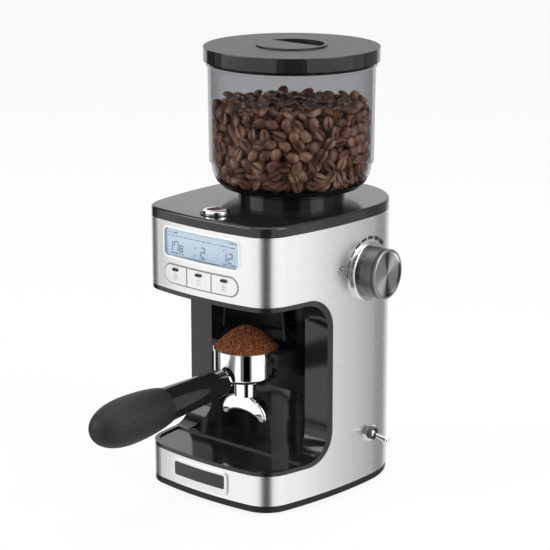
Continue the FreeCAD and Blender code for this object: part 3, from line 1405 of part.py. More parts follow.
def coffee_beans():
    # the heap of beans as one fill, a little clear of the wall and the funnel
    inset = GLASS_T + BEAN_GAP
    level = GLASS_Z + BEAN_LEVEL + BOWL_RISE
    points = hopper_profile(inset)
    seat_r = HOPPER_BASE_R - GLASS_T - PAST
    funnel_low = GLASS_Z - HOPPER_FUNNEL_DROP
    foot = V(seat_r - BEAN_GAP, BURR_Y, GLASS_Z)
    throat = V(THROAT_R - BEAN_GAP, BURR_Y, funnel_low + BEAN_GAP)
    bottom = V(THROAT_R - BEAN_GAP, BURR_Y, HOPPER_Z - SPIGOT_LENGTH)
    share = (level - points["step"].z) / (points["wall"].z - points["step"].z)
    shoulder = points["step"] + (points["wall"] - points["step"]) * share
    corners = [V(0, BURR_Y, bottom.z), bottom, throat, foot, points["bowl"], points["step"], shoulder,
               V(0, BURR_Y, level + BEAN_GAP)]
    outline = Part.makePolygon(corners + corners[:1])
    return Part.Face(outline).revolve(V(0, BURR_Y, 0), UP, 360)


def recess(radius, z0, z1, chord):
    half_moon = rod(radius, z1 - z0, V(0, BURR_Y, z0))
    return half_moon.common(block(-radius, radius, BURR_Y + chord, BURR_Y + radius, z0, z1))


def lid():
    top = rod(LID_R, LID_T, V(0, BURR_Y, LID_Z))
    top = rounded(top, LID_EDGE_R, lambda e: lies_at(e, LID_TOP))
    inner = SKIRT_R - SKIRT_T
    skirt = rod(SKIRT_R, SKIRT_DROP + PAST, V(0, BURR_Y, LID_Z - SKIRT_DROP))
    disc = rod(GRIP_DISC_R, GRIP_DISC_T + PAST, V(0, BURR_Y, LID_TOP - PAST))
    disc = rounded(disc, GRIP_DISC_T / 2, lambda e: lies_at(e, LID_TOP + GRIP_DISC_T))
    cap = fuse([top, skirt, disc])
    hollow = rod(inner, SKIRT_DROP + LID_HOLLOW, V(0, BURR_Y, LID_Z - SKIRT_DROP))
    cap = cap.cut(hollow)
    floor_z = LID_TOP - RECESS_DEPTH - RECESS_FLOOR_T
    pan = recess(RECESS_R + RECESS_FLOOR_T, floor_z, LID_TOP - PAST, RECESS_CHORD - RECESS_FLOOR_T)
    dip = recess(RECESS_R, LID_TOP - RECESS_DEPTH, LID_TOP + 2 * GRIP_DISC_T, RECESS_CHORD)
    cap = fuse([cap, pan]).cut(dip)
    groove_z = LID_Z - SKIRT_DROP + SEAL_LIFT
    groove = tube(SKIRT_R + PAST, SKIRT_R - SEAL_T / 2, SEAL_HEIGHT, V(0, BURR_Y, groove_z))
    return cap.cut(groove)


def lid_seal():
    groove_z = LID_Z - SKIRT_DROP + SEAL_LIFT
    inner = SKIRT_R - SEAL_T / 2 + RUN_FIT
    return tube(SKIRT_R + RUN_FIT, inner, SEAL_HEIGHT, V(0, BURR_Y, groove_z))


# Toggle switch

def toggle_side():
    return side_x(0, TOGGLE_Y)


def toggle_body():
    half = TOGGLE_BODY_SIDE / 2
    start = min(side_x(CHASSIS_INNER, y) for y in (TOGGLE_Y - half, TOGGLE_Y + half)) - RUN_FIT
    lower = block(start - TOGGLE_BODY_LENGTH, start, TOGGLE_Y - half, TOGGLE_Y + half,
                  TOGGLE_Z - half, TOGGLE_Z + half)
    mouth = toggle_side() + TOGGLE_BUSH_REACH
    sleeve = rod(TOGGLE_BUSH_R, mouth - start + PAST, V(start - PAST, TOGGLE_Y, TOGGLE_Z), RIGHT)
    body = fuse([lower, sleeve])
    depth = TOGGLE_PIVOT_DEPTH + TOGGLE_BALL_R + PAST
    return body.cut(rod(TOGGLE_BORE_R, depth + PAST, V(mouth - depth, TOGGLE_Y, TOGGLE_Z), RIGHT))


def toggle_nut():
    # its foot follows the bowed wall
    foot = V(toggle_side() - PAST, TOGGLE_Y, TOGGLE_Z)
    height = PAST + SEAT_GAP + TOGGLE_NUT_T
    nut = hexagon(foot, TOGGLE_NUT_FLATS / math.sqrt(3), BACK, UP).extrude(RIGHT * height)
    nut = nut.cut(plan_prism(-RUN_FIT, TOGGLE_Z - TOGGLE_NUT_FLATS, TOGGLE_Z + TOGGLE_NUT_FLATS))
    return nut.cut(rod(TOGGLE_BUSH_R + RUN_FIT, height, foot, RIGHT))


def toggle_lever():
    # ball, bat and rounded tip, turned in one about the lever's own axis
    pivot = V(toggle_side() + TOGGLE_BUSH_REACH - TOGGLE_PIVOT_DEPTH, TOGGLE_Y, TOGGLE_Z)

    def at(along, radius):
        return pivot + RIGHT * along + UP * radius

    neck = math.sqrt(TOGGLE_BALL_R ** 2 - TOGGLE_LEVER_R ** 2)
    tip = TOGGLE_LEVER_LENGTH
    slant = TOGGLE_TIP_R * math.sqrt(0.5)
    edges = [Part.Arc(at(-TOGGLE_BALL_R, 0), at(0, TOGGLE_BALL_R), at(neck, TOGGLE_LEVER_R)).toShape(),
             Part.makeLine(at(neck, TOGGLE_LEVER_R), at(tip, TOGGLE_TIP_R)),
             Part.Arc(at(tip, TOGGLE_TIP_R), at(tip + slant, slant), at(tip + TOGGLE_TIP_R, 0)).toShape(),
             Part.makeLine(at(tip + TOGGLE_TIP_R, 0), at(-TOGGLE_BALL_R, 0))]
    lever = Part.Face(Part.Wire(edges)).revolve(pivot, RIGHT, 360)
    lever.rotate(pivot, BACK, math.degrees(TOGGLE_TILT))
    return lever


# Power board and cord gland

def power_board():
    half = POWER_BOARD_WIDTH / 2
    face = POWER_BOARD_Y - BOARD_T
    middle = POWER_BOARD_Z + POWER_BOARD_HEIGHT / 2
    board = block(-half, half, face, POWER_BOARD_Y, POWER_BOARD_Z, POWER_BOARD_Z + POWER_BOARD_HEIGHT)
    step = POWER_BOARD_WIDTH / 4
    core_x = TRANSFORMER_WIDTH / 2
    core_z = TRANSFORMER_HEIGHT / 2
    core = block(-step - core_x, core_x - step, face - TRANSFORMER_T, face, middle - core_z, middle + core_z)
    relay_x = RELAY_WIDTH / 2
    relay = block(step - relay_x, step + relay_x, face - RELAY_T, face, middle, middle + RELAY_HEIGHT)
    capacitor = rod(CAPACITOR_R, RELAY_T, V(step, face, middle - 3 * CAPACITOR_R), BACK * -1)
    board = fuse([board, core, relay, capacitor])
    holes = [screw_hole(place - BACK * BOARD_T, BACK * -1, BOARD_T + POST_R) for place in power_post_places()]
    return board.cut(Part.makeCompound(holes))


def inner_screws():
    bite = BOARD_T + POST_R
    screws = [screw(place, UP, DECK_T + MOTOR_CAP_T) for place in motor_screw_places()]
    screws += [screw(place - BACK * BOARD_T, BACK * -1, bite) for place in power_post_places()]
    screws += [screw(place + BACK * BOARD_T, BACK, bite) for place in display_post_places()]
    screws += [screw(place - UP * (START_POST_DROP + BOARD_T), UP * -1, bite) for place in start_posts()]
    return Part.makeCompound(screws)


def cord_gland():
    # wall of the rear corner at the gland, found on the plan outline
    ray = Part.makeLine(V(GLAND_X, 0, GLAND_Z), V(GLAND_X, BODY_DEPTH, GLAND_Z))
    wall_y = plan_prism(0, GLAND_Z - PAST, GLAND_Z + PAST).common(ray).BoundBox.YMax
    sleeve = gland_rod(GLAND_R, wall_y - 2 * GLAND_FLANGE_R, wall_y + PAST)
    flange = gland_rod(GLAND_FLANGE_R, wall_y - 2 * GLAND_FLANGE_R, wall_y + GLAND_FLANGE_T)
    outside = flange.cut(plan_prism(-RUN_FIT, 0, 2 * GLAND_Z + GLAND_FLANGE_R))
    body = fuse([sleeve, outside])
    return body.cut(gland_rod(GLAND_BORE_R, 0, BODY_DEPTH))


NODES = {
    "base_plate": base_plate,
    "rubber_feet": rubber_feet,
    "base_screws": base_screws,
    "steel_skin": steel_skin,
    "chassis": chassis,
    "bay_liner": bay_liner,
    "top_cover": top_cover,
    "start_button": start_button,
    "start_ring": start_ring,
    "start_board": start_board,
    "lcd_frame": lcd_frame,
    "lcd_lens": lcd_lens,
    "lcd_panel": lcd_panel,
    "display_board": display_board,
    "button_frame": button_frame,
    "left_button": lambda: front_button(0),
    "middle_button": lambda: front_button(1),
    "right_button": lambda: front_button(2),
    "name_plate": name_plate,
    "name_inlay": name_inlay,
    "gear_deck": gear_deck,
    "burr_gear": burr_gear,
    "motor_pinion": motor_pinion,
    "shaft_bushes": shaft_bushes,
    "burr_shaft": burr_shaft,
    "motor_can": motor_can,
    "motor_magnets": motor_magnets,
    "motor_rotor": motor_rotor,
    "grinding_chamber": grinding_chamber,
    "sweeper": sweeper,
    "cone_burr": cone_burr,
    "burr_nut": burr_nut,
    "ring_burr": ring_burr,
    "burr_carrier": burr_carrier,
    "dial_pinion": dial_pinion,
    "dial_bush": dial_bush,
    "dial_bezel": dial_bezel,
    "dial_knob": dial_knob,
    "grounds_chute": grounds_chute,
    "chute_shroud": chute_shroud,
    "cradle": cradle,
    "portafilter_cup": cup,
    "filter_basket": filter_basket,
    "coffee_grounds": coffee_grounds,
    "twin_spout": twin_spout,
    "handle_neck": handle_neck,
    "handle_grip": handle_grip,
    "hopper_socket": hopper_socket,
    "hopper_base": hopper_base,
    "hopper_wall": hopper_wall,
    "coffee_beans": coffee_beans,
    "lid": lid,
    "lid_seal": lid_seal,
    "toggle_body": toggle_body,
    "toggle_nut": toggle_nut,
    "toggle_lever": toggle_lever,
    "power_board": power_board,
    "inner_screws": inner_screws,
    "cord_gland": cord_gland,
}

for node, build in NODES.items():
    shape = build()
    shape.exportStep("parts/" + node + ".step")
    solids = len(shape.Solids)
    print(f"{node}: {solids} solid(s), {shape.Volume / 1000:.2f} cm3, valid {shape.isValid()}")
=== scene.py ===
import json
import math
import random

import bpy
import numpy as np
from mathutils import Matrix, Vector


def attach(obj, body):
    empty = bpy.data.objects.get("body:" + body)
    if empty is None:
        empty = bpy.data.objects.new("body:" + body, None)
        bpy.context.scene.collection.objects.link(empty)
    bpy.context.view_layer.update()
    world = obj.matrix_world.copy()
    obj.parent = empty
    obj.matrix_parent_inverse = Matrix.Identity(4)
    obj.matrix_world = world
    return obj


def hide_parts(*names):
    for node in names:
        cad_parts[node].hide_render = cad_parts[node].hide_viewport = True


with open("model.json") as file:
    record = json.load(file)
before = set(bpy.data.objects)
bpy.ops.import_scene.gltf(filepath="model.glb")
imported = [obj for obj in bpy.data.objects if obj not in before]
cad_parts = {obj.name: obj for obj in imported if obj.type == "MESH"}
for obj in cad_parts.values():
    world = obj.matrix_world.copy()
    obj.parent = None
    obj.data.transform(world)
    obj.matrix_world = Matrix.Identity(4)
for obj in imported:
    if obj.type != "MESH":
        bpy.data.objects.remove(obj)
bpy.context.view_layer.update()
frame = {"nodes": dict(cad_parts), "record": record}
nodes = frame["nodes"]
mm = 0.001
quarterTurn = math.pi / 2
fullTurn = 2 * math.pi
white = (1, 1, 1, 1)
print("frame loaded, nodes:", len(nodes))

# places shared by several pieces, in metres and radians
body = {
    "frontY": -103 * mm,
    "frontBow": 359.36 * mm,        # radius of the bowed front
    "sideX": 84.6 * mm,
    "sideBow": 411.47 * mm,         # radius of the bowed sides
    "burrY": 18 * mm,               # axis of hopper, lid and burrs
    "cupY": -43 * mm,               # axis of chute and portafilter
    "dialZ": 201 * mm,              # height of the dial's axis
    "dialTurn": math.radians(6.1),  # how far that axis swings to the rear
}


def frontAt(x, proud=0.0):
    radius = body["frontBow"] + proud
    return body["frontY"] + body["frontBow"] - math.sqrt(radius ** 2 - x ** 2)


def sideAt(y, proud=0.0):
    radius = body["sideBow"] + proud
    return body["sideX"] - body["sideBow"] + math.sqrt(radius ** 2 - y ** 2)


# a shader socket as a value, so that finishes read as sums
class Value:
    def __init__(self, finish, socket):
        self.finish = finish
        self.socket = socket

    def calc(self, operation, *others):
        return self.finish.add("Math", {"operation": operation}, dict(enumerate((self, *others))))

    def swapped(self, operation, other):
        return self.finish.add("Math", {"operation": operation}, {0: other, 1: self})

    def __add__(self, other):
        return self.calc("ADD", other)

    def __sub__(self, other):
        return self.calc("SUBTRACT", other)

    def __mul__(self, other):
        return self.calc("MULTIPLY", other)

    def __truediv__(self, other):
        return self.calc("DIVIDE", other)

    def __pow__(self, other):
        return self.calc("POWER", other)

    def __lt__(self, other):
        return self.calc("LESS_THAN", other)

    def __gt__(self, other):
        return self.calc("GREATER_THAN", other)

    def __abs__(self):
        return self.calc("ABSOLUTE")

    def __rsub__(self, other):
        return self.swapped("SUBTRACT", other)

    def __rtruediv__(self, other):
        return self.swapped("DIVIDE", other)

    __radd__ = __add__
    __rmul__ = __mul__


# the nodes of one material, or of the world
class Finish:
    mixSockets = {"factor": 0, "low": 6, "high": 7, "result": 2}  # of a Mix node set to colour

    def __init__(self, name, world=None):
        self.material = world or bpy.data.materials.new(name)
        self.material.use_nodes = True
        self.tree = self.material.node_tree
        self.tree.nodes.clear()
        self.end = self.tree.nodes.new("ShaderNodeOutput" + ("World" if world else "Material"))

    def add(self, kind, settings, sockets, output=0):
        node = self.tree.nodes.new("ShaderNode" + kind)
        for key, value in settings.items():
            if key == "stops":
                ramp = node.color_ramp.elements
                while len(ramp) < len(value):
                    ramp.new(0.5)
                for stop, (place, shade) in zip(ramp, value):
                    stop.position = place
                    stop.color = (*shade, 1)
            else:
                setattr(node, key, value)
        for key, value in sockets.items():
            if isinstance(value, Value):
                self.tree.links.new(value.socket, node.inputs[key])
            else:
                node.inputs[key].default_value = value
        return Value(self, node.outputs[output])

    def place(self, scale=(1, 1, 1), move=(0, 0, 0)):
        coords = self.add("TexCoord", {}, {}, "Object")
        return self.add("Mapping", {}, {"Vector": coords, "Location": move, "Scale": scale})

    def split(self, vector):
        x = self.add("SeparateXYZ", {}, {"Vector": vector}, "X")
        node = x.socket.node
        return x, Value(self, node.outputs["Y"]), Value(self, node.outputs["Z"])

    def noise(self, vector, scale=1.0, detail=3.0):
        return self.add("TexNoise", {}, {"Vector": vector, "Scale": scale, "Detail": detail})

    def blend(self, factor, low, high):
        at = self.mixSockets
        low, high = (tone if isinstance(tone, Value) else (*tone, 1) for tone in (low, high))
        sockets = {at["factor"]: factor, at["low"]: low, at["high"]: high}
        return self.add("Mix", {"data_type": "RGBA"}, sockets, at["result"])

    def bump(self, height, strength, distance):
        return self.add("Bump", {}, {"Height": height, "Strength": strength, "Distance": distance})

    def shade(self, shader):
        self.tree.links.new(shader.socket, self.end.inputs["Surface"])
        return self.material

    def close(self, sockets):
        return self.shade(self.add("BsdfPrincipled", {}, sockets))


# finishes
def brushedSteel():
    look = {
        "dull": (0.68, 0.68, 0.68), "bright": (0.82, 0.82, 0.82), "rough": 0.23, "spread": 0.14,
        "fine": (9, 9, 2600), "broad": (3, 3, 420), "fineShare": 0.7, "relief": 0.25, "depth": 0.008 * mm,
    }
    coat = Finish("brushedSteel")
    fine = coat.noise(coat.place(look["fine"]), detail=4.0)  # long lines that run round the body
    broad = coat.noise(coat.place(look["broad"]), detail=2.0)
    streaks = fine * look["fineShare"] + broad * (1 - look["fineShare"])
    return coat.close({
        "Base Color": coat.blend(streaks, look["dull"], look["bright"]),
        "Metallic": 1.0,
        "Roughness": look["rough"] + look["spread"] * fine,
        "Normal": coat.bump(fine, look["relief"], look["depth"]),
    })


def mirrorChrome():
    look = {"tone": (0.86, 0.86, 0.86, 1), "rough": 0.03, "spread": 0.04, "smear": 90.0}
    coat = Finish("mirrorChrome")
    smear = coat.noise(coat.place(), look["smear"])
    return coat.close({
        "Base Color": look["tone"],
        "Metallic": 1.0,
        "Roughness": look["rough"] + look["spread"] * smear,
    })


def spunMetal():
    # fine rings about the dial's axis; the fans of light and dark that a spun face shows are painted into its
    # colour as painted highlight and painted shade, so they turn with the dial
    look = {
        "faceAt": 104.6 * mm, "faceRadius": 20.2 * mm,
        "rimDepth": 0.3 * mm, "faceDepth": 2.2 * mm, "grooveDepths": (3.6 * mm, 2.6 * mm),  # behind the face
        "fanHighlight": (1.6, 4, 0.65),        # heading, sharpness, share: painted highlight at one to two o'clock, and across
        "wedgeShade": (math.pi, 12, 0.5),  # the same for the painted shade at twelve and six o'clock
        "paintedSheen": 0.40, "rings": 9000.0, "grain": (2400, 30, 30),
        "faceShadeTone": (0.07, 0.07, 0.073), "faceHighlightTone": (0.97, 0.97, 0.98),
        "sideDark": (0.13, 0.13, 0.135), "sideBright": (0.24, 0.24, 0.245),
        "rim": (0.34, 0.34, 0.35), "groove": (0.03, 0.03, 0.03),
        "rough": 0.3, "faceGloss": 0.1, "sideSpread": 0.06, "relief": 0.15, "depth": 0.02 * mm,
    }
    coat = Finish("spunMetal")
    spot = coat.place(move=(0, -body["burrY"], -body["dialZ"]))
    spot = coat.add("Mapping", {}, {"Vector": spot, "Rotation": (0, 0, -body["dialTurn"])})
    along, across, up = coat.split(spot)
    radius = (across ** 2 + up ** 2) ** 0.5
    turn = up.calc("ARCTAN2", across)

    def paintedRays(heading, sharpness, share):
        return ((turn * 2 - heading).calc("COSINE") * 0.5 + 0.5) ** sharpness * share

    # painted sheen: the face's colour is lighter in the bright fans and darker in the dark wedges, standing
    # in for reflected light
    paintedSheen = (look["paintedSheen"] + paintedRays(*look["fanHighlight"]) - paintedRays(*look["wedgeShade"])).calc("MAXIMUM", 0.0)
    rings = (radius * look["rings"]).calc("SINE")
    grain = coat.noise(coat.add("Mapping", {}, {"Vector": spot, "Scale": look["grain"]}))
    face = (along > look["faceAt"] - look["faceDepth"]) * (radius < look["faceRadius"])
    rim = along > look["faceAt"] - look["rimDepth"]
    deep, shallow = look["grooveDepths"]
    groove = (along > look["faceAt"] - deep) * (along < look["faceAt"] - shallow)
    sideTone = coat.blend(grain, look["sideDark"], look["sideBright"])
    edgeTone = coat.blend(groove, coat.blend(rim, sideTone, look["rim"]), look["groove"])
    # the face's colour carries the painted highlight and painted shade
    facePaintedLight = coat.blend(paintedSheen, look["faceShadeTone"], look["faceHighlightTone"])
    return coat.close({
        "Base Color": coat.blend(face, edgeTone, facePaintedLight),
        "Metallic": 1.0,
        "Roughness": look["rough"] - look["faceGloss"] * face + look["sideSpread"] * grain,
        "Normal": coat.bump(rings * face, look["relief"], look["depth"]),
    })


def glossBlack():
    look = {"low": (0.010, 0.010, 0.011), "high": (0.018, 0.018, 0.019), "haze": 55.0,
            "rough": 0.07, "spread": 0.07, "shine": 0.45}
    coat = Finish("glossBlack")
    haze = coat.noise(coat.place(), look["haze"])
    return coat.close({
        "Base Color": coat.blend(haze, look["low"], look["high"]),
        "Roughness": look["rough"] + look["spread"] * haze,
        "Specular IOR Level": look["shine"],
    })


def satinBlack():
    look = {"low": (0.010, 0.010, 0.011), "high": (0.017, 0.017, 0.018), "grain": 2600.0, "wear": 30.0,
            "rough": 0.34, "spread": 0.12, "shine": 0.22, "relief": 0.12, "depth": 0.03 * mm}
    coat = Finish("satinBlack")
    grain = coat.noise(coat.place(), look["grain"], detail=2.0)
    wear = coat.noise(coat.place(), look["wear"])
    return coat.close({
        "Base Color": coat.blend(wear, look["low"], look["high"]),
        "Roughness": look["rough"] + look["spread"] * wear,
        "Specular IOR Level": look["shine"],
        "Normal": coat.bump(grain, look["relief"], look["depth"]),
    })


def lidBlack():
    # satin on top, polished round the edge
    look = {"low": (0.011, 0.011, 0.012), "high": (0.017, 0.017, 0.018), "grain": 1800.0,
            "edge": 78.7 * mm, "rough": 0.36, "spread": 0.08, "polish": 0.36, "shine": 0.4}
    coat = Finish("lidBlack")
    grain = coat.noise(coat.place(), look["grain"], detail=2.0)
    x, y = coat.split(coat.place(move=(0, -body["burrY"], 0)))[:2]
    band = (x ** 2 + y ** 2) ** 0.5 > look["edge"]
    return coat.close({
        "Base Color": coat.blend(grain, look["low"], look["high"]),
        "Roughness": look["rough"] + look["spread"] * grain - look["polish"] * band,
        "Specular IOR Level": look["shine"],
    })


def rubberGrip():
    # soft black with long shallow grooves that follow the grip
    look = {
        "low": (0.010, 0.010, 0.011), "high": (0.019, 0.019, 0.020), "grain": 3000.0, "grainRelief": 0.05,
        "rough": 0.50, "spread": 0.1, "shine": 0.28, "relief": 0.7, "depth": 0.6 * mm,
        "pivotY": -76 * mm, "pivotZ": 104 * mm, "fall": math.tan(math.radians(3.3)),  # the handle's slope
        "from": -216 * mm, "to": -160 * mm,
        "angles": (0.2, 0.95, 1.7, 2.5), "half": 0.05,  # of the grooves, in radians round the grip
        "drift": 5.0,                                   # radians that they turn in a metre
    }
    coat = Finish("rubberGrip")
    grain = coat.noise(coat.place(), look["grain"], detail=2.0)
    x, y, z = coat.split(coat.place(move=(0, -look["pivotY"], -look["pivotZ"])))
    turn = (z - y * look["fall"]).calc("ARCTAN2", x)
    start = look["from"] - look["pivotY"]
    end = look["to"] - look["pivotY"]
    drift = (y - start) * look["drift"]
    aways = [abs(turn - angle - drift) / look["half"] for angle in look["angles"]]
    grooves = [1 - away.calc("MINIMUM", 1.0) for away in aways]
    groove = sum(grooves[1:], grooves[0]) * ((y > start) * (y < end))
    return coat.close({
        "Base Color": coat.blend(grain, look["low"], look["high"]),
        "Roughness": look["rough"] + look["spread"] * grain,
        "Specular IOR Level": look["shine"],
        "Normal": coat.bump(grain * look["grainRelief"] - groove, look["relief"], look["depth"]),
    })


def smokyClear():
    look = {"through": (0.78, 0.78, 0.79, 1), "skin": (0.02, 0.02, 0.022, 1), "haze": (14, 14, 3),
            "rough": 0.03, "spread": 0.03, "least": 0.03, "hazeShare": 0.03, "edgeShare": 0.55,
            "edgeBlend": 0.5, "edgePower": 4}
    coat = Finish("smokyClear")
    edge = coat.add("LayerWeight", {}, {"Blend": look["edgeBlend"]}, "Facing")
    haze = coat.noise(coat.place(look["haze"]), detail=2.0)
    rough = look["rough"] + look["spread"] * haze
    through = coat.add("BsdfTransparent", {}, {"Color": look["through"]})
    skin = coat.add("BsdfPrincipled", {}, {"Base Color": look["skin"], "Roughness": rough})
    share = look["least"] + look["hazeShare"] * haze + edge ** look["edgePower"] * look["edgeShare"]
    return coat.shade(coat.add("MixShader", {}, {0: share, 1: through, 2: skin}))


def clearLens():
    look = {"through": (0.95, 0.97, 0.98, 1), "skin": (0.8, 0.85, 0.88, 1), "haze": 40.0,
            "rough": 0.04, "spread": 0.04, "least": 0.02, "edgeShare": 0.5, "edgeBlend": 0.12}
    coat = Finish("clearLens")
    edge = coat.add("LayerWeight", {}, {"Blend": look["edgeBlend"]}, "Fresnel")
    rough = look["rough"] + look["spread"] * coat.noise(coat.place(), look["haze"])
    through = coat.add("BsdfTransparent", {}, {"Color": look["through"]})
    skin = coat.add("BsdfPrincipled", {}, {"Base Color": look["skin"], "Roughness": rough})
    share = edge * look["edgeShare"] + look["least"]
    return coat.shade(coat.add("MixShader", {}, {0: share, 1: through, 2: skin}))


def displayBlue():
    # a pale blue that lightens upward
    look = {"low": (0.45, 0.54, 0.65), "high": (0.66, 0.71, 0.77), "midZ": 231.5 * mm, "half": 13 * mm,
            "rise": 0.8, "cloud": 0.3, "offset": 0.1, "clouds": (18, 18, 18), "rough": 0.25, "glow": 0.2}
    coat = Finish("displayBlue")
    z = coat.split(coat.place(move=(0, 0, -look["midZ"])))[2]
    rise = (z / look["half"]) * 0.5 + 0.5
    cloud = coat.noise(coat.place(look["clouds"]), detail=1.0)
    tone = coat.blend(rise * look["rise"] + cloud * look["cloud"] - look["offset"], look["low"], look["high"])
    return coat.close({
        "Base Color": tone,
        "Roughness": look["rough"],
        "Emission Color": tone,
        "Emission Strength": look["glow"],
    })


def silverPaint():
    look = {"low": (0.70, 0.70, 0.71), "high": (0.84, 0.84, 0.85), "flake": 1800.0, "metal": 0.55,
            "rough": 0.32, "spread": 0.08}
    coat = Finish("silverPaint")
    flake = coat.noise(coat.place(), look["flake"], detail=2.0)
    return coat.close({
        "Base Color": coat.blend(flake, look["low"], look["high"]),
        "Metallic": look["metal"],
        "Roughness": look["rough"] + look["spread"] * flake,
    })


def roastedBean():
    look = {
        "stops": [(0.32, (0.080, 0.028, 0.014)), (0.50, (0.33, 0.145, 0.075)), (0.68, (0.68, 0.40, 0.25))],
        "batch": 85.0, "vein": 900.0, "batchShare": 0.8, "veinShare": 0.2,
        "rough": 0.26, "spread": 0.14, "oil": 0.5, "oilRough": 0.12, "relief": 0.25, "depth": 0.2 * mm,
    }
    coat = Finish("roastedBean")
    batch = coat.noise(coat.place(), look["batch"], detail=1.0)  # one tone for about one bean
    vein = coat.noise(coat.place(), look["vein"])
    tone = batch * look["batchShare"] + vein * look["veinShare"]
    return coat.close({
        "Base Color": coat.add("ValToRGB", {"stops": look["stops"]}, {"Fac": tone}),
        "Roughness": look["rough"] + look["spread"] * vein,
        "Coat Weight": look["oil"],
        "Coat Roughness": look["oilRough"],
        "Normal": coat.bump(vein, look["relief"], look["depth"]),
    })


def groundCoffee():
    look = {
        "stops": [(0.12, (0.040, 0.010, 0.002)), (0.50, (0.240, 0.062, 0.010)), (0.90, (0.56, 0.21, 0.045))],
        "grain": 1100.0, "lump": 320.0, "grainShare": 0.7, "lumpShare": 0.3,
        "rough": 0.75, "spread": 0.15, "relief": 0.7, "depth": 0.6 * mm,
    }
    coat = Finish("groundCoffee")
    grain = coat.add("TexVoronoi", {}, {"Vector": coat.place(), "Scale": look["grain"]}, "Color")
    shade, dullness = coat.split(grain)[:2]  # two chance numbers for each grain
    lump = coat.noise(coat.place(), look["lump"])
    tone = shade * look["grainShare"] + lump * look["lumpShare"]
    return coat.close({
        "Base Color": coat.add("ValToRGB", {"stops": look["stops"]}, {"Fac": tone}),
        "Roughness": look["rough"] + look["spread"] * dullness,
        "Normal": coat.bump(shade + lump, look["relief"], look["depth"]),
    })


def plainFinish(name, low, high, rough, scale, metal=0.0):
    # for prints, for moulded, cast or ground pieces that mostly sit inside the body, and for the near black
    # painted shade of the bean core
    look = {"spread": 0.12, "relief": 0.1, "depth": 0.05 * mm}
    coat = Finish(name)
    grain = coat.noise(coat.place(), scale)
    return coat.close({
        "Base Color": coat.blend(grain, low, high),
        "Metallic": metal,
        "Roughness": rough - look["spread"] / 2 + look["spread"] * grain,
        "Normal": coat.bump(grain, look["relief"], look["depth"]),
    })


finishes = {
    "brushed_skin": brushedSteel(),
    "chrome": mirrorChrome(),
    "spun_metal": spunMetal(),
    "silver_button": silverPaint(),
    "black_gloss": glossBlack(),
    "black_satin": satinBlack(),
    "dark_plastic": plainFinish("darkPlastic", (0.03, 0.03, 0.032), (0.05, 0.05, 0.052), 0.5, 700.0),
    "rubber": rubberGrip(),
    "smoky_clear": smokyClear(),
    "clear_lens": clearLens(),
    "lcd_blue": displayBlue(),
    "coffee_beans": roastedBean(),
    "coffee_grounds": groundCoffee(),
    "circuit_board": plainFinish("circuitGreen", (0.03, 0.15, 0.06), (0.05, 0.21, 0.09), 0.45, 400.0),
    "gear_nylon": plainFinish("gearNylon", (0.70, 0.69, 0.65), (0.80, 0.79, 0.75), 0.45, 500.0),
    "tool_steel": plainFinish("groundSteel", (0.46, 0.46, 0.47), (0.56, 0.56, 0.57), 0.3, 900.0, metal=1.0),
    "screw_steel": plainFinish("screwSteel", (0.40, 0.40, 0.41), (0.50, 0.50, 0.51), 0.35, 900.0, metal=1.0),
    "cast_metal": plainFinish("castMetal", (0.48, 0.48, 0.49), (0.60, 0.60, 0.61), 0.5, 600.0, metal=1.0),
    "dark_metal": plainFinish("darkMetal", (0.08, 0.08, 0.09), (0.13, 0.13, 0.14), 0.5, 600.0, metal=0.8),
    "bronze": plainFinish("sinteredBronze", (0.48, 0.34, 0.15), (0.60, 0.44, 0.22), 0.42, 700.0, metal=1.0),
}
inkFinish = plainFinish("printInk", (0.012, 0.012, 0.013), (0.020, 0.020, 0.022), 0.5, 800.0)
# painted shade: a near black for the core inside the bean heap, so the gaps between the beans look shaded
beanPaintedShade = plainFinish("beanPaintedShade", (0.010, 0.005, 0.003), (0.022, 0.010, 0.006), 0.7, 300.0)
lcdInk = plainFinish("lcdInk", (0.10, 0.13, 0.18), (0.14, 0.17, 0.22), 0.4, 800.0)
iconInk = plainFinish("iconInk", (0.34, 0.34, 0.35), (0.42, 0.42, 0.43), 0.5, 800.0)

slotOf = {row["node"]: row["material_slot"] for row in frame["record"]["subparts"]}
for nodeName, piece in nodes.items():
    piece.data.materials.clear()
    piece.data.materials.append(finishes[slotOf[nodeName]])
nodes["name_plate"].data.materials[0] = finishes["silver_button"]  # satin rather than mirror
nodes["lid"].data.materials[0] = lidBlack()
frameGrey = plainFinish("frameGrey", (0.22, 0.22, 0.23), (0.30, 0.30, 0.31), 0.4, 700.0)
nodes["button_frame"].data.materials[0] = frameGrey
print("finishes on the frame:", len(finishes))


# modelling helpers
def freshStart():
    if bpy.context.object and bpy.context.object.mode != "OBJECT":
        bpy.ops.object.mode_set(mode="OBJECT")
    bpy.ops.object.select_all(action="DESELECT")


def pickOnly(piece):
    freshStart()
    piece.select_set(True)
    bpy.context.view_layer.objects.active = piece


def settle(piece):
    pickOnly(piece)
    bpy.ops.object.transform_apply(location=True, rotation=True, scale=True)
    return piece


def addModifier(piece, kind, **settings):
    pickOnly(piece)
    modifier = piece.modifiers.new(kind.lower(), kind)
    for key, value in settings.items():
        setattr(modifier, key, value)
    bpy.ops.object.modifier_apply(modifier=modifier.name)


def joined(pieces, name):
    freshStart()
    for piece in pieces:
        piece.select_set(True)
    bpy.context.view_layer.objects.active = pieces[0]
    if len(pieces) > 1:
        bpy.ops.object.join()
    whole = bpy.context.object
    whole.name = name
    return settle(whole)


def dress(piece, finish, bodyName):
    piece.data.materials.clear()
    piece.data.materials.append(finish)
    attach(piece, bodyName)
    return piece


def smooth(piece, degrees):
    pickOnly(piece)
    bpy.ops.object.shade_smooth_by_angle(angle=math.radians(degrees))


def tile(centre, size, turn=0.0):
    # a thin printed or inlaid tile, turned about the upright
    freshStart()
    bpy.ops.mesh.primitive_cube_add(size=1, location=centre, rotation=(0, 0, turn))
    piece = bpy.context.object
    piece.scale = size
    return settle(piece)


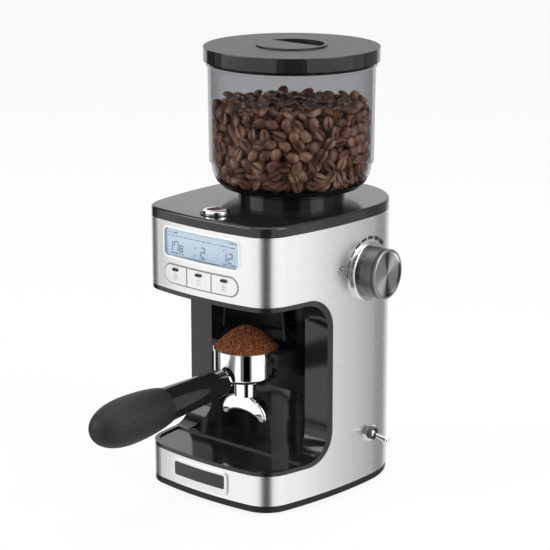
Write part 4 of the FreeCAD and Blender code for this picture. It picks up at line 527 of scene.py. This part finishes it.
def lathed(points, axisY, name, steps, weld=0.02 * mm):
    # an open outline of (radius, height) points, spun about an upright axis
    freshStart()
    bpy.ops.mesh.primitive_circle_add(vertices=3, location=(0, axisY, 0))
    piece = bpy.context.object
    piece.name = name
    settle(piece)
    outline = [(radius, axisY, height) for radius, height in points]
    edges = [(index, index + 1) for index in range(len(outline) - 1)]
    piece.data.clear_geometry()
    piece.data.from_pydata(outline, edges, [])
    pickOnly(piece)
    bpy.ops.object.mode_set(mode="EDIT")
    bpy.ops.mesh.select_all(action="SELECT")
    bpy.ops.mesh.spin(steps=steps, angle=fullTurn, center=(0, axisY, 0), axis=(0, 0, 1))
    bpy.ops.mesh.select_all(action="SELECT")
    bpy.ops.mesh.remove_doubles(threshold=weld)
    bpy.ops.mesh.normals_make_consistent(inside=False)
    bpy.ops.object.mode_set(mode="OBJECT")
    return piece


def copiesAsOne(model, places, name):
    # one mesh that holds a copy of the model for every (turn matrix, place)
    count = len(model.data.vertices)
    points = np.zeros(count * 3)
    model.data.vertices.foreach_get("co", points)
    points = points.reshape(-1, 3)
    faces = [list(face.vertices) for face in model.data.polygons]
    allPoints = []
    allFaces = []
    for index, (turn, place) in enumerate(places):
        allPoints.append(points @ turn.T + place)
        allFaces += [[corner + index * count for corner in face] for face in faces]
    whole = model.copy()
    whole.data = bpy.data.meshes.new(name)
    whole.data.from_pydata(np.concatenate(allPoints).tolist(), [], allFaces)
    whole.name = name
    bpy.context.scene.collection.objects.link(whole)
    bpy.data.objects.remove(model)
    return whole


def randomTurn(dice, tilt):
    # a turn matrix: any heading, with the model's flat side leaning by up to the tilt
    a = dice.uniform(0, fullTurn)
    b = dice.uniform(-tilt, tilt)
    c = dice.uniform(-tilt, tilt)
    turnZ = np.array([[math.cos(a), -math.sin(a), 0], [math.sin(a), math.cos(a), 0], [0, 0, 1]])
    turnX = np.array([[1, 0, 0], [0, math.cos(b), -math.sin(b)], [0, math.sin(b), math.cos(b)]])
    turnY = np.array([[math.cos(c), 0, math.sin(c)], [0, 1, 0], [-math.sin(c), 0, math.cos(c)]])
    return turnX @ turnY @ turnZ


# coffee beans behind the smoky wall
beans = {
    "half": (6.6 * mm, 5.0 * mm, 3.9 * mm),
    "segments": 12,
    "rings": 7,
    "flat": 0.5,                 # how much the creased side is flattened
    "shoulder": 0.8,             # height of the creased side beside the lips, as a share of theirs
    "creaseFrom": 0.75,          # the points this far up the round become the crease and its lips
    "midline": 0.05,             # those within this of the middle become the crease
    "endShare": 0.2,             # the crease stops where the bean is narrower than this
    "lip": 0.24,                 # half width of the crease, as a share of the bean
    "crease": 2.4 * mm,          # its depth
    "bend": 0.5 * mm,            # how far it winds from side to side
    "bendTurn": 3,
    "rowStep": 9.4 * mm,
    "along": 12.4 * mm,          # room for one bean round the wall
    "insets": (3.4 * mm, 10.4 * mm),  # of the two layers behind the wall
    "gap": 0.5 * mm,             # to the wall
    "sway": 0.2,                 # along the row, as a share of one bean's room
    "rowJitter": (-1.6, 1.6),    # in millimetres up and down, as is topJitter
    "rowTilt": 0.45,
    "rowFlip": 0.5,              # share of beans with the crease turned in
    "lowZ": 279.5 * mm,
    "levelZ": 343 * mm,
    "dish": 6 * mm,              # the heap is lower in the middle
    "topCount": 150,
    "topInset": 6 * mm,
    "topTurn": 2.39996,          # the golden angle, which spreads the beans evenly
    "topJitter": (-2.5, 3.0),
    "topTilt": 0.7,
    "topFlip": 0.4,
    "wall": [(275.1, 64.0), (281, 68.2), (290.6, 69.2), (292.2, 71.4), (374, 72.5)],  # height, inside radius
    # the core's outline: a filler inside the heap, coloured as painted shade
    "core": [(0, 251), (30, 251), (30.4, 267), (53, 275.5), (57, 283), (57, 338), (0, 334)],  # radius, height
    "coreSteps": 48,
    "smooth": 48,
    "seed": 11,
}
upsideDown = np.diag([1, -1, -1])


def wallInside(z):
    heights = [height * mm for height, radius in beans["wall"]]
    radii = [radius * mm for height, radius in beans["wall"]]
    return float(np.interp(z, heights, radii))


def modelBean():
    freshStart()
    bpy.ops.mesh.primitive_uv_sphere_add(segments=beans["segments"], ring_count=beans["rings"], radius=1)
    piece = bpy.context.object
    piece.rotation_euler = (quarterTurn, 0, quarterTurn)  # poles to the two ends
    settle(piece)
    halfLong, halfWide, halfThick = beans["half"]
    for corner in piece.data.vertices:
        x, y, z = corner.co
        side = math.sqrt(max(1 - x * x, 0))
        top = halfThick * beans["flat"] * math.sqrt(side)
        creased = z > beans["creaseFrom"] * side and side > beans["endShare"]
        if creased and abs(y) > beans["midline"]:
            across = math.copysign(beans["lip"] * halfWide * side, y)
            height = top
        elif creased:
            across = beans["bend"] * math.sin(beans["bendTurn"] * x)
            height = top - beans["crease"] * side
        else:
            across = y * halfWide
            height = z * halfThick if z < 0 else min(z * halfThick, top * beans["shoulder"])
        corner.co = (x * halfLong, across, height)
    return piece


def outwardTurn(angle, dice):
    # the bean's thin direction points out at the wall, creased side in or out
    lay = randomTurn(dice, beans["rowTilt"])
    if dice.random() < beans["rowFlip"]:
        lay = upsideDown @ lay
    out = np.array([math.cos(angle), math.sin(angle), 0])
    up = np.array([0, 0, 1])
    across = np.cross(up, out)
    return np.stack([across, up, out], axis=1) @ lay


def beanPlaces(points):
    dice = random.Random(beans["seed"])
    places = []
    axis = np.array([0, body["burrY"], 0])

    def spot(radius, angle, height):
        return axis + np.array([radius * math.cos(angle), radius * math.sin(angle), height])

    def put(turn, place):
        # a bean that would reach into the wall moves in toward the axis
        corners = points @ turn.T + place - axis
        reach = np.hypot(corners[:, 0], corners[:, 1])
        over = max(reach[k] - wallInside(corners[k, 2]) + beans["gap"] for k in range(len(corners)))
        if over > 0:
            flat = place - axis
            flat[2] = 0
            place = place - flat / np.linalg.norm(flat) * over
        places.append((turn, place))

    z = beans["lowZ"]
    row = 0
    while z < beans["levelZ"]:
        for inset in beans["insets"]:
            radius = wallInside(z) - inset
            count = int(fullTurn * radius / beans["along"])
            for index in range(count):
                shift = dice.uniform(-beans["sway"], beans["sway"])
                angle = fullTurn * (index + 0.5 * (row % 2) + shift) / count
                height = z + dice.uniform(*beans["rowJitter"]) * mm
                put(outwardTurn(angle, dice), spot(radius, angle, height))
        z += beans["rowStep"]
        row += 1
    for index in range(beans["topCount"]):
        share = (index + 0.5) / beans["topCount"]
        radius = (wallInside(beans["levelZ"]) - beans["topInset"]) * math.sqrt(share)
        height = beans["levelZ"] - beans["dish"] * (1 - share) + dice.uniform(*beans["topJitter"]) * mm
        turn = randomTurn(dice, beans["topTilt"])
        if dice.random() < beans["topFlip"]:
            turn = upsideDown @ turn
        put(turn, spot(radius, index * beans["topTurn"], height))
    return places


bean = modelBean()
beanPoints = np.array([corner.co[:] for corner in bean.data.vertices])
beanHeap = copiesAsOne(bean, beanPlaces(beanPoints), "beanHeap")
smooth(beanHeap, beans["smooth"])
dress(beanHeap, finishes["coffee_beans"], "hopper")
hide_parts("coffee_beans")
# a near black core inside the heap: painted shade that shows in the gaps between the beans
coreOutline = [(radius * mm, height * mm) for radius, height in beans["core"]]
beanShadeCore = lathed(coreOutline, body["burrY"], "beanShadeCore", beans["coreSteps"])
dress(beanShadeCore, beanPaintedShade, "hopper")
print("beans:", len(beanHeap.data.polygons), "faces")


# ground coffee heaped in the basket
grounds = {
    "floorZ": 107.5 * mm,
    "inside": 25.4 * mm,         # radius in the basket
    "radius": 28.3 * mm,         # radius of the heap on its rim
    "rimZ": 129.95 * mm,
    "peakZ": 149.4 * mm,
    "slope": 1.6,                # 1 is a sharp cone, 2 a round dome
    "rings": 21,
    "around": 72,
    "lump": 2.4 * mm,
    "lumpSize": 3.6 * mm,
    "lumpDepth": 3,
    "lumpLevel": 0.75,
    "lumpFrom": 0.5 * mm,        # above the rim
    "smooth": 60,
    "crumbs": 2400,
    "crumbSize": 0.95 * mm,
    "crumbSizes": (0.5, 1.1),    # least and largest, as shares of crumbSize
    "crumbWidths": (0.6, 1.0),
    "crumbTilt": 1.5,
    "crumbReach": 0.97,          # share of the heap's radius that has crumbs
    "crumbSink": 0.1 * mm,
    "seed": 5,
}


def heapHeight(share):
    # a loose cone with a round top, that runs out over the basket's rim
    rise = grounds["peakZ"] - grounds["rimZ"]
    return grounds["rimZ"] + rise * (1 - share ** grounds["slope"])


def modelGrounds():
    outline = [(0.0, grounds["floorZ"]), (grounds["inside"], grounds["floorZ"]),
               (grounds["inside"], grounds["rimZ"]), (grounds["radius"], grounds["rimZ"])]
    for index in range(1, grounds["rings"] + 1):
        share = 1 - index / grounds["rings"]
        outline.append((grounds["radius"] * share, heapHeight(share)))
    heap = lathed(outline, body["cupY"], "groundsHeap", grounds["around"])
    lumps = bpy.data.textures.new("groundsLumps", "CLOUDS")
    lumps.noise_scale = grounds["lumpSize"]
    lumps.noise_depth = grounds["lumpDepth"]
    group = heap.vertex_groups.new(name="top")
    for corner in heap.data.vertices:
        if corner.co.z > grounds["rimZ"] + grounds["lumpFrom"]:
            group.add([corner.index], 1.0, "REPLACE")
    addModifier(heap, "SUBSURF", levels=1, render_levels=1)
    addModifier(heap, "DISPLACE", texture=lumps, strength=grounds["lump"], mid_level=grounds["lumpLevel"],
                vertex_group="top")
    smooth(heap, grounds["smooth"])
    return heap


def modelCrumbs():
    dice = random.Random(grounds["seed"])
    freshStart()
    bpy.ops.mesh.primitive_ico_sphere_add(subdivisions=1, radius=1)
    crumb = settle(bpy.context.object)
    places = []
    for index in range(grounds["crumbs"]):
        share = math.sqrt(dice.random()) * grounds["crumbReach"]
        angle = dice.uniform(0, fullTurn)
        size = grounds["crumbSize"] * dice.uniform(*grounds["crumbSizes"])
        turn = randomTurn(dice, grounds["crumbTilt"]) * size
        turn[:, 0] *= dice.uniform(*grounds["crumbWidths"])
        reach = grounds["radius"] * share
        height = heapHeight(share) - grounds["crumbSink"]
        place = np.array([reach * math.cos(angle), body["cupY"] + reach * math.sin(angle), height])
        places.append((turn, place))
    return copiesAsOne(crumb, places, "groundsCrumbs")


groundsHeap = dress(modelGrounds(), finishes["coffee_grounds"], "portafilter")
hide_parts("coffee_grounds")
dress(modelCrumbs(), finishes["coffee_grounds"], "portafilter")
print("grounds done")


# display: plain numbers and small marks on the panel
display = {
    "faceY": -98.107 * mm,
    "thick": 0.12 * mm,
    # the rest is in millimetres; a number is a digit with its middle x, middle z, width and height
    "numbers": [("1", -38.4, 227.4, 3.4, 8.4), ("7", -32.2, 227.4, 4.6, 8.4), ("8", -26.2, 226.0, 3.6, 5.6),
                ("2", 0.0, 226.8, 4.8, 8.4), ("1", 26.2, 227.0, 3.4, 8.4), ("2", 32.6, 227.0, 4.6, 8.4)],
    "strokes": {"1": "bc", "2": "abged", "7": "abcf", "8": "abcdefg"},
    "stroke": 1.0,
    "trim": (0.7, 0.55),         # how far level and upright strokes fall short, in strokes
    "slant": 0.06,               # the numbers lean a little
    # rows of marks from x to x, at a z, of a height
    "rows": [(-42, -31, 239.5, 1.5), (-42, 40, 236.6, 0.8), (-39, -24, 221.2, 1.2), (-4, 4, 220.9, 1.2),
             (24, 38, 221.0, 1.2), (31, 40, 240.6, 1.5)],
    "markWidths": (0.5, 1.3),
    "markGaps": (0.4, 0.5, 1.6),
    "dots": [(-9, 229.5), (-9.6, 222.6), (25.5, 233.0)],
    "dotSize": (1.1, 1.5),
    "seed": 3,
}


def panelTile(x, z, width, height):
    y = display["faceY"] - display["thick"] / 2
    return tile((x * mm, y, z * mm), (width * mm, display["thick"], height * mm))


def numberTiles(digit, x, z, width, height):
    side = width / 2
    half = height / 2
    stroke = display["stroke"]
    level = width - stroke * display["trim"][0]
    upright = half - stroke * display["trim"][1]
    bars = {
        "a": (0, half, level, stroke), "g": (0, 0, level, stroke), "d": (0, -half, level, stroke),
        "b": (side, half / 2, stroke, upright), "c": (side, -half / 2, stroke, upright),
        "f": (-side, half / 2, stroke, upright), "e": (-side, -half / 2, stroke, upright),
    }
    tiles = []
    for letter in display["strokes"][digit]:
        across, up, barWidth, barHeight = bars[letter]
        tiles.append(panelTile(x + across + up * display["slant"], z + up, barWidth, barHeight))
    return tiles


def markTiles():
    dice = random.Random(display["seed"])
    tiles = []
    for left, right, z, height in display["rows"]:
        x = left
        while x < right:
            width = dice.uniform(*display["markWidths"])
            tiles.append(panelTile(x + width / 2, z, width, height))
            x += width + dice.choice(display["markGaps"])
    for x, z in display["dots"]:
        tiles.append(panelTile(x, z, *display["dotSize"]))
    return tiles


digitTiles = []
for number in display["numbers"]:
    digitTiles += numberTiles(*number)
dress(joined(digitTiles, "displayNumbers"), lcdInk, "housing")
dress(joined(markTiles(), "displayMarks"), lcdInk, "housing")
print("display done")


# front buttons: a dark lamp window and a small sign on each
buttons = {
    "x": {"left_button": -29.2 * mm, "middle_button": 0.0, "right_button": 29.2 * mm},
    "proud": 0.5 * mm,
    "sink": 0.05 * mm,           # how deep a tile sits in the button
    "lampZ": 207.6 * mm,
    "lamp": (6.8 * mm, 2.6 * mm),
    "lampThick": 0.3 * mm,
    "lampRound": 0.48,           # radius of its corners, as a share of its height
    "lampSteps": 8,
    "signZ": 201.0 * mm,
    "signThick": 0.12 * mm,
    "wire": 0.22 * mm,           # of a sign's ring
    "wireLift": 0.02 * mm,
    # in millimetres from a sign's middle: a ring is x, z, radius and a bar is x, z, width, height
    "signs": {
        "left_button": [(0, 0, 2.2), (0, 0.8, 0.35, 1.6), (0.6, 0, 1.2, 0.35)],  # a clock
        "middle_button": [(-1.7, 0, 0.4, 4.2), (1.7, 0, 0.4, 4.2),
                          (0, -2.0, 3.6, 0.4), (0, 2.0, 4.2, 0.4)],              # a beaker
        "right_button": [(-1.6, 0, 0.4, 4.4), (0.3, -0.6, 1.7), (-0.4, 2.0, 2.4, 0.4)],
    },
}


def frontTile(x, z, width, height, thick):
    y = frontAt(x, buttons["proud"]) - thick / 2 + buttons["sink"]
    return tile((x, y, z), (width, thick, height), math.asin(x / body["frontBow"]))


def signRing(x, z, radius):
    y = frontAt(x, buttons["proud"]) - buttons["wireLift"]
    freshStart()
    bpy.ops.mesh.primitive_torus_add(
        location=(x, y, z), rotation=(quarterTurn, 0, math.asin(x / body["frontBow"])),
        major_radius=radius, minor_radius=buttons["wire"], major_segments=32, minor_segments=6)
    return settle(bpy.context.object)


def signPart(x, across, up, *size):
    x += across * mm
    z = buttons["signZ"] + up * mm
    size = [length * mm for length in size]
    if len(size) == 1:
        return signRing(x, z, *size)
    return frontTile(x, z, *size, buttons["signThick"])


def lampWindow(x):
    # a pill: the tile's four short edges, which run front to back, are rounded in edit mode
    lamp = frontTile(x, buttons["lampZ"], *buttons["lamp"], buttons["lampThick"])
    pickOnly(lamp)
    for edge in lamp.data.edges:
        first, second = (lamp.data.vertices[index].co for index in edge.vertices)
        level = abs(first.z - second.z) < 0.001 * mm
        edge.select = level and (first - second).length < 1 * mm
    bpy.context.tool_settings.mesh_select_mode = (False, True, False)
    bpy.ops.object.mode_set(mode="EDIT")
    bpy.ops.mesh.bevel(offset=buttons["lamp"][1] * buttons["lampRound"], segments=buttons["lampSteps"])
    bpy.ops.object.mode_set(mode="OBJECT")
    return lamp


for bodyName, x in buttons["x"].items():
    lamp = lampWindow(x)
    lamp.name = bodyName + "Lamp"
    dress(lamp, inkFinish, bodyName)
    sign = [signPart(x, *row) for row in buttons["signs"][bodyName]]
    dress(joined(sign, bodyName + "Sign"), iconInk, bodyName)
print("buttons done")


# printed scale round the grind dial, that widens as it goes over the top
scale = {
    "y": 27.0 * mm,
    "radius": 30.2 * mm,
    "count": 8,
    "from": 182,                 # degrees, 0 at the rear and 90 on top
    "to": 38,
    "gap": 4.5,
    "thin": 1.1 * mm,
    "thick": 3.6 * mm,
    "lift": 0.06 * mm,
    "ink": 0.8,                  # thickness of the print, as a share of the lift
    "pieces": 12,
}


def scaleStrip(start, stop, width):
    freshStart()
    bpy.ops.mesh.primitive_grid_add(x_subdivisions=scale["pieces"], y_subdivisions=1, size=2)
    piece = bpy.context.object
    for corner in piece.data.vertices:
        angle = math.radians(start + (stop - start) * (corner.co.x + 1) / 2)
        radius = scale["radius"] + corner.co.y * width / 2
        y = scale["y"] + radius * math.cos(angle)
        z = body["dialZ"] + radius * math.sin(angle)
        corner.co = (sideAt(y, scale["lift"]), y, z)
    addModifier(piece, "SOLIDIFY", thickness=scale["lift"] * scale["ink"], offset=0)
    return piece


strips = []
step = (scale["to"] - scale["from"]) / scale["count"]
for index in range(scale["count"]):
    share = index / (scale["count"] - 1)
    start = scale["from"] + step * index
    width = scale["thin"] + (scale["thick"] - scale["thin"]) * share
    strips.append(scaleStrip(start, start + step + scale["gap"], width))
dress(joined(strips, "dialScale"), inkFinish, "housing")


# a few printed dots before the scale, in millimetres: y, z, radius
grindSign = {
    "dots": [(-13.5, 211.0, 1.0), (-10.6, 212.2, 0.8), (-11.6, 208.8, 0.9), (-15.2, 208.4, 0.8),
             (-13.2, 206.4, 0.7)],
    "thick": 0.12 * mm,
}
dots = []
for y, z, radius in grindSign["dots"]:
    freshStart()
    bpy.ops.mesh.primitive_cylinder_add(
        vertices=20, radius=radius * mm, depth=grindSign["thick"],
        location=(sideAt(y * mm), y * mm, z * mm), rotation=(0, quarterTurn, 0))
    dots.append(settle(bpy.context.object))
dress(joined(dots, "grindSign"), inkFinish, "housing")


# ticks round the foot of the knob
knob = {
    "radius": 22.5 * mm,
    "at": 88.9 * mm,             # along the dial's axis
    "length": 1.4 * mm,
    "marks": 9,
    "from": 180,                 # degrees, as are step and half
    "step": 17,
    "half": 6,
    "lift": 0.03 * mm,
    "ink": 0.04 * mm,
    "pieces": 6,
}


def knobMark(turn):
    freshStart()
    heading = Vector((math.cos(body["dialTurn"]), math.sin(body["dialTurn"]), 0))
    across = Vector((-heading.y, heading.x, 0))
    up = Vector((0, 0, 1))
    centre = Vector((0, body["burrY"], body["dialZ"])) + heading * knob["at"]
    bpy.ops.mesh.primitive_grid_add(x_subdivisions=knob["pieces"], y_subdivisions=1, size=2)
    piece = bpy.context.object
    for corner in piece.data.vertices:
        angle = math.radians(turn + corner.co.x * knob["half"])
        along = corner.co.y * knob["length"] / 2
        spread = across * math.cos(angle) + up * math.sin(angle)
        corner.co = centre + heading * along + spread * (knob["radius"] + knob["lift"])
    addModifier(piece, "SOLIDIFY", thickness=knob["ink"], offset=0)
    return piece


marks = [knobMark(knob["from"] - index * knob["step"]) for index in range(knob["marks"])]
dress(joined(marks, "knobMarks"), inkFinish, "dial")
print("dial scale done")


# alignment dot on the hopper's neck
neckDot = {"heading": (0.230, -0.973), "radius": 48.3 * mm, "z": 267.0 * mm, "size": 1.1 * mm,
           "thick": 0.2 * mm, "edge": 0.06 * mm}
heading = Vector((*neckDot["heading"], 0)).normalized()
freshStart()
bpy.ops.mesh.primitive_cylinder_add(
    vertices=24, radius=neckDot["size"], depth=neckDot["thick"],
    location=Vector((0, body["burrY"], neckDot["z"])) + heading * neckDot["radius"],
    rotation=(quarterTurn, 0, math.atan2(heading.x, -heading.y)))
dot = joined([bpy.context.object], "neckDot")
addModifier(dot, "BEVEL", width=neckDot["edge"], segments=2)
dress(dot, inkFinish, "hopper")
print("neck dot done")


# studio: pale floor, soft boxes, and bright and dark cards that shape the reflections
studio = {
    "floor": 16.0, "floorTone": 0.86, "floorPatch": 0.03, "patchScale": 0.6, "glow": 0.87, "ambient": 0.55,
    "cameraAt": (1.2235, -1.3635, 0.6683), "pitch": 75.303, "heading": 41.991, "lens": 136.73, "sensor": 36,
    "cardZ": 0.3, "cardHeight": 6.0,
    # name, degrees round from the front, half width in degrees, distance, brightness
    "cards": [
        ("leftPanel", -22, 41, 3.2, 1.2),
        ("rightPanel", 94, 35, 3.2, 1.2),
        ("rightFade", 137, 10, 2.9, 0.75),
        ("frontGap", 42, 19, 2.6, 0.18),
        ("frontCore", 44, 11, 2.5, 0.0),
        ("leftGap", -80, 20, 2.6, 0.28),
        ("leftCore", -86, 11, 2.5, 0.02),
        ("rightGap", 166, 20, 2.6, 0.32),
    ],
    # name, place, size, power
    "boxes": [
        ("leftBox", (-1.3, -1.6, 1.2), (1.4, 1.6), 22),
        ("rightBox", (2.0, 0.3, 1.1), (1.2, 1.6), 20),
        ("topBox", (0.1, 0.2, 2.2), (1.6, 1.6), 18),
    ],
    "boxTarget": (0, 0, 0.2),
}


def floorFinish():
    coat = Finish("studioFloor")
    seen = coat.add("LightPath", {}, {}, "Is Camera Ray")
    patch = coat.noise(coat.place(), studio["patchScale"], detail=1.0)
    low = (studio["floorTone"],) * 3
    high = (studio["floorTone"] + studio["floorPatch"],) * 3
    base = coat.add("BsdfDiffuse", {}, {"Color": coat.blend(patch, low, high)})
    glow = coat.add("Emission", {}, {"Color": white, "Strength": 1.0})
    return coat.shade(coat.add("MixShader", {}, {0: seen * studio["glow"], 1: base, 2: glow}))


def mirrorCard(name, azimuth, half, distance, tone):
    # an upright card that only reflections see
    turn = math.radians(azimuth)
    freshStart()
    bpy.ops.mesh.primitive_plane_add(
        size=1, rotation=(quarterTurn, 0, turn),
        location=(math.sin(turn) * distance, -math.cos(turn) * distance, studio["cardZ"]))
    card = bpy.context.object
    card.name = name
    card.scale = (2 * distance * math.tan(math.radians(half)), studio["cardHeight"], 1)
    coat = Finish(name)
    card.data.materials.append(coat.shade(coat.add("Emission", {}, {"Color": white, "Strength": tone})))
    card.visible_camera = False
    card.visible_diffuse = False
    card.visible_shadow = False
    card.visible_transmission = False


def softBox(name, place, size, power):
    data = bpy.data.lights.new(name, "AREA")
    data.shape = "RECTANGLE"
    data.size, data.size_y = size
    data.energy = power
    light = bpy.data.objects.new(name, data)
    light.location = place
    aim = Vector(studio["boxTarget"]) - Vector(place)
    light.rotation_euler = aim.to_track_quat("-Z", "Y").to_euler()
    bpy.context.scene.collection.objects.link(light)


def studioWorld():
    # white where the camera, glass and metal see it, and dimmer as a light
    world = bpy.data.worlds.new("studioWorld")
    sky = Finish("studioWorld", world)
    seen = sky.add("LightPath", {}, {}, "Is Camera Ray")
    for ray in ("Is Transmission Ray", "Is Glossy Ray"):
        seen = seen.calc("MAXIMUM", sky.add("LightPath", {}, {}, ray))
    strength = studio["ambient"] + seen * (1 - studio["ambient"])
    return sky.shade(sky.add("Background", {}, {"Color": white, "Strength": strength}))


def studioCamera():
    data = bpy.data.cameras.new("studioCamera")
    data.lens = studio["lens"]
    data.sensor_width = studio["sensor"]
    camera = bpy.data.objects.new("studioCamera", data)
    camera.location = studio["cameraAt"]
    camera.rotation_euler = (math.radians(studio["pitch"]), 0, math.radians(studio["heading"]))
    bpy.context.scene.collection.objects.link(camera)
    return camera


freshStart()
bpy.ops.mesh.primitive_plane_add(size=studio["floor"] * 2)
floor = bpy.context.object
floor.name = "studioFloor"
floor.data.materials.append(floorFinish())
floor.visible_glossy = False  # upright steel mirrors the panels and cards, not the floor
for row in studio["cards"]:
    mirrorCard(*row)
for row in studio["boxes"]:
    softBox(*row)
bpy.context.scene.world = studioWorld()
bpy.context.scene.camera = studioCamera()
bpy.context.scene.view_settings.view_transform = "Standard"
print("studio done")
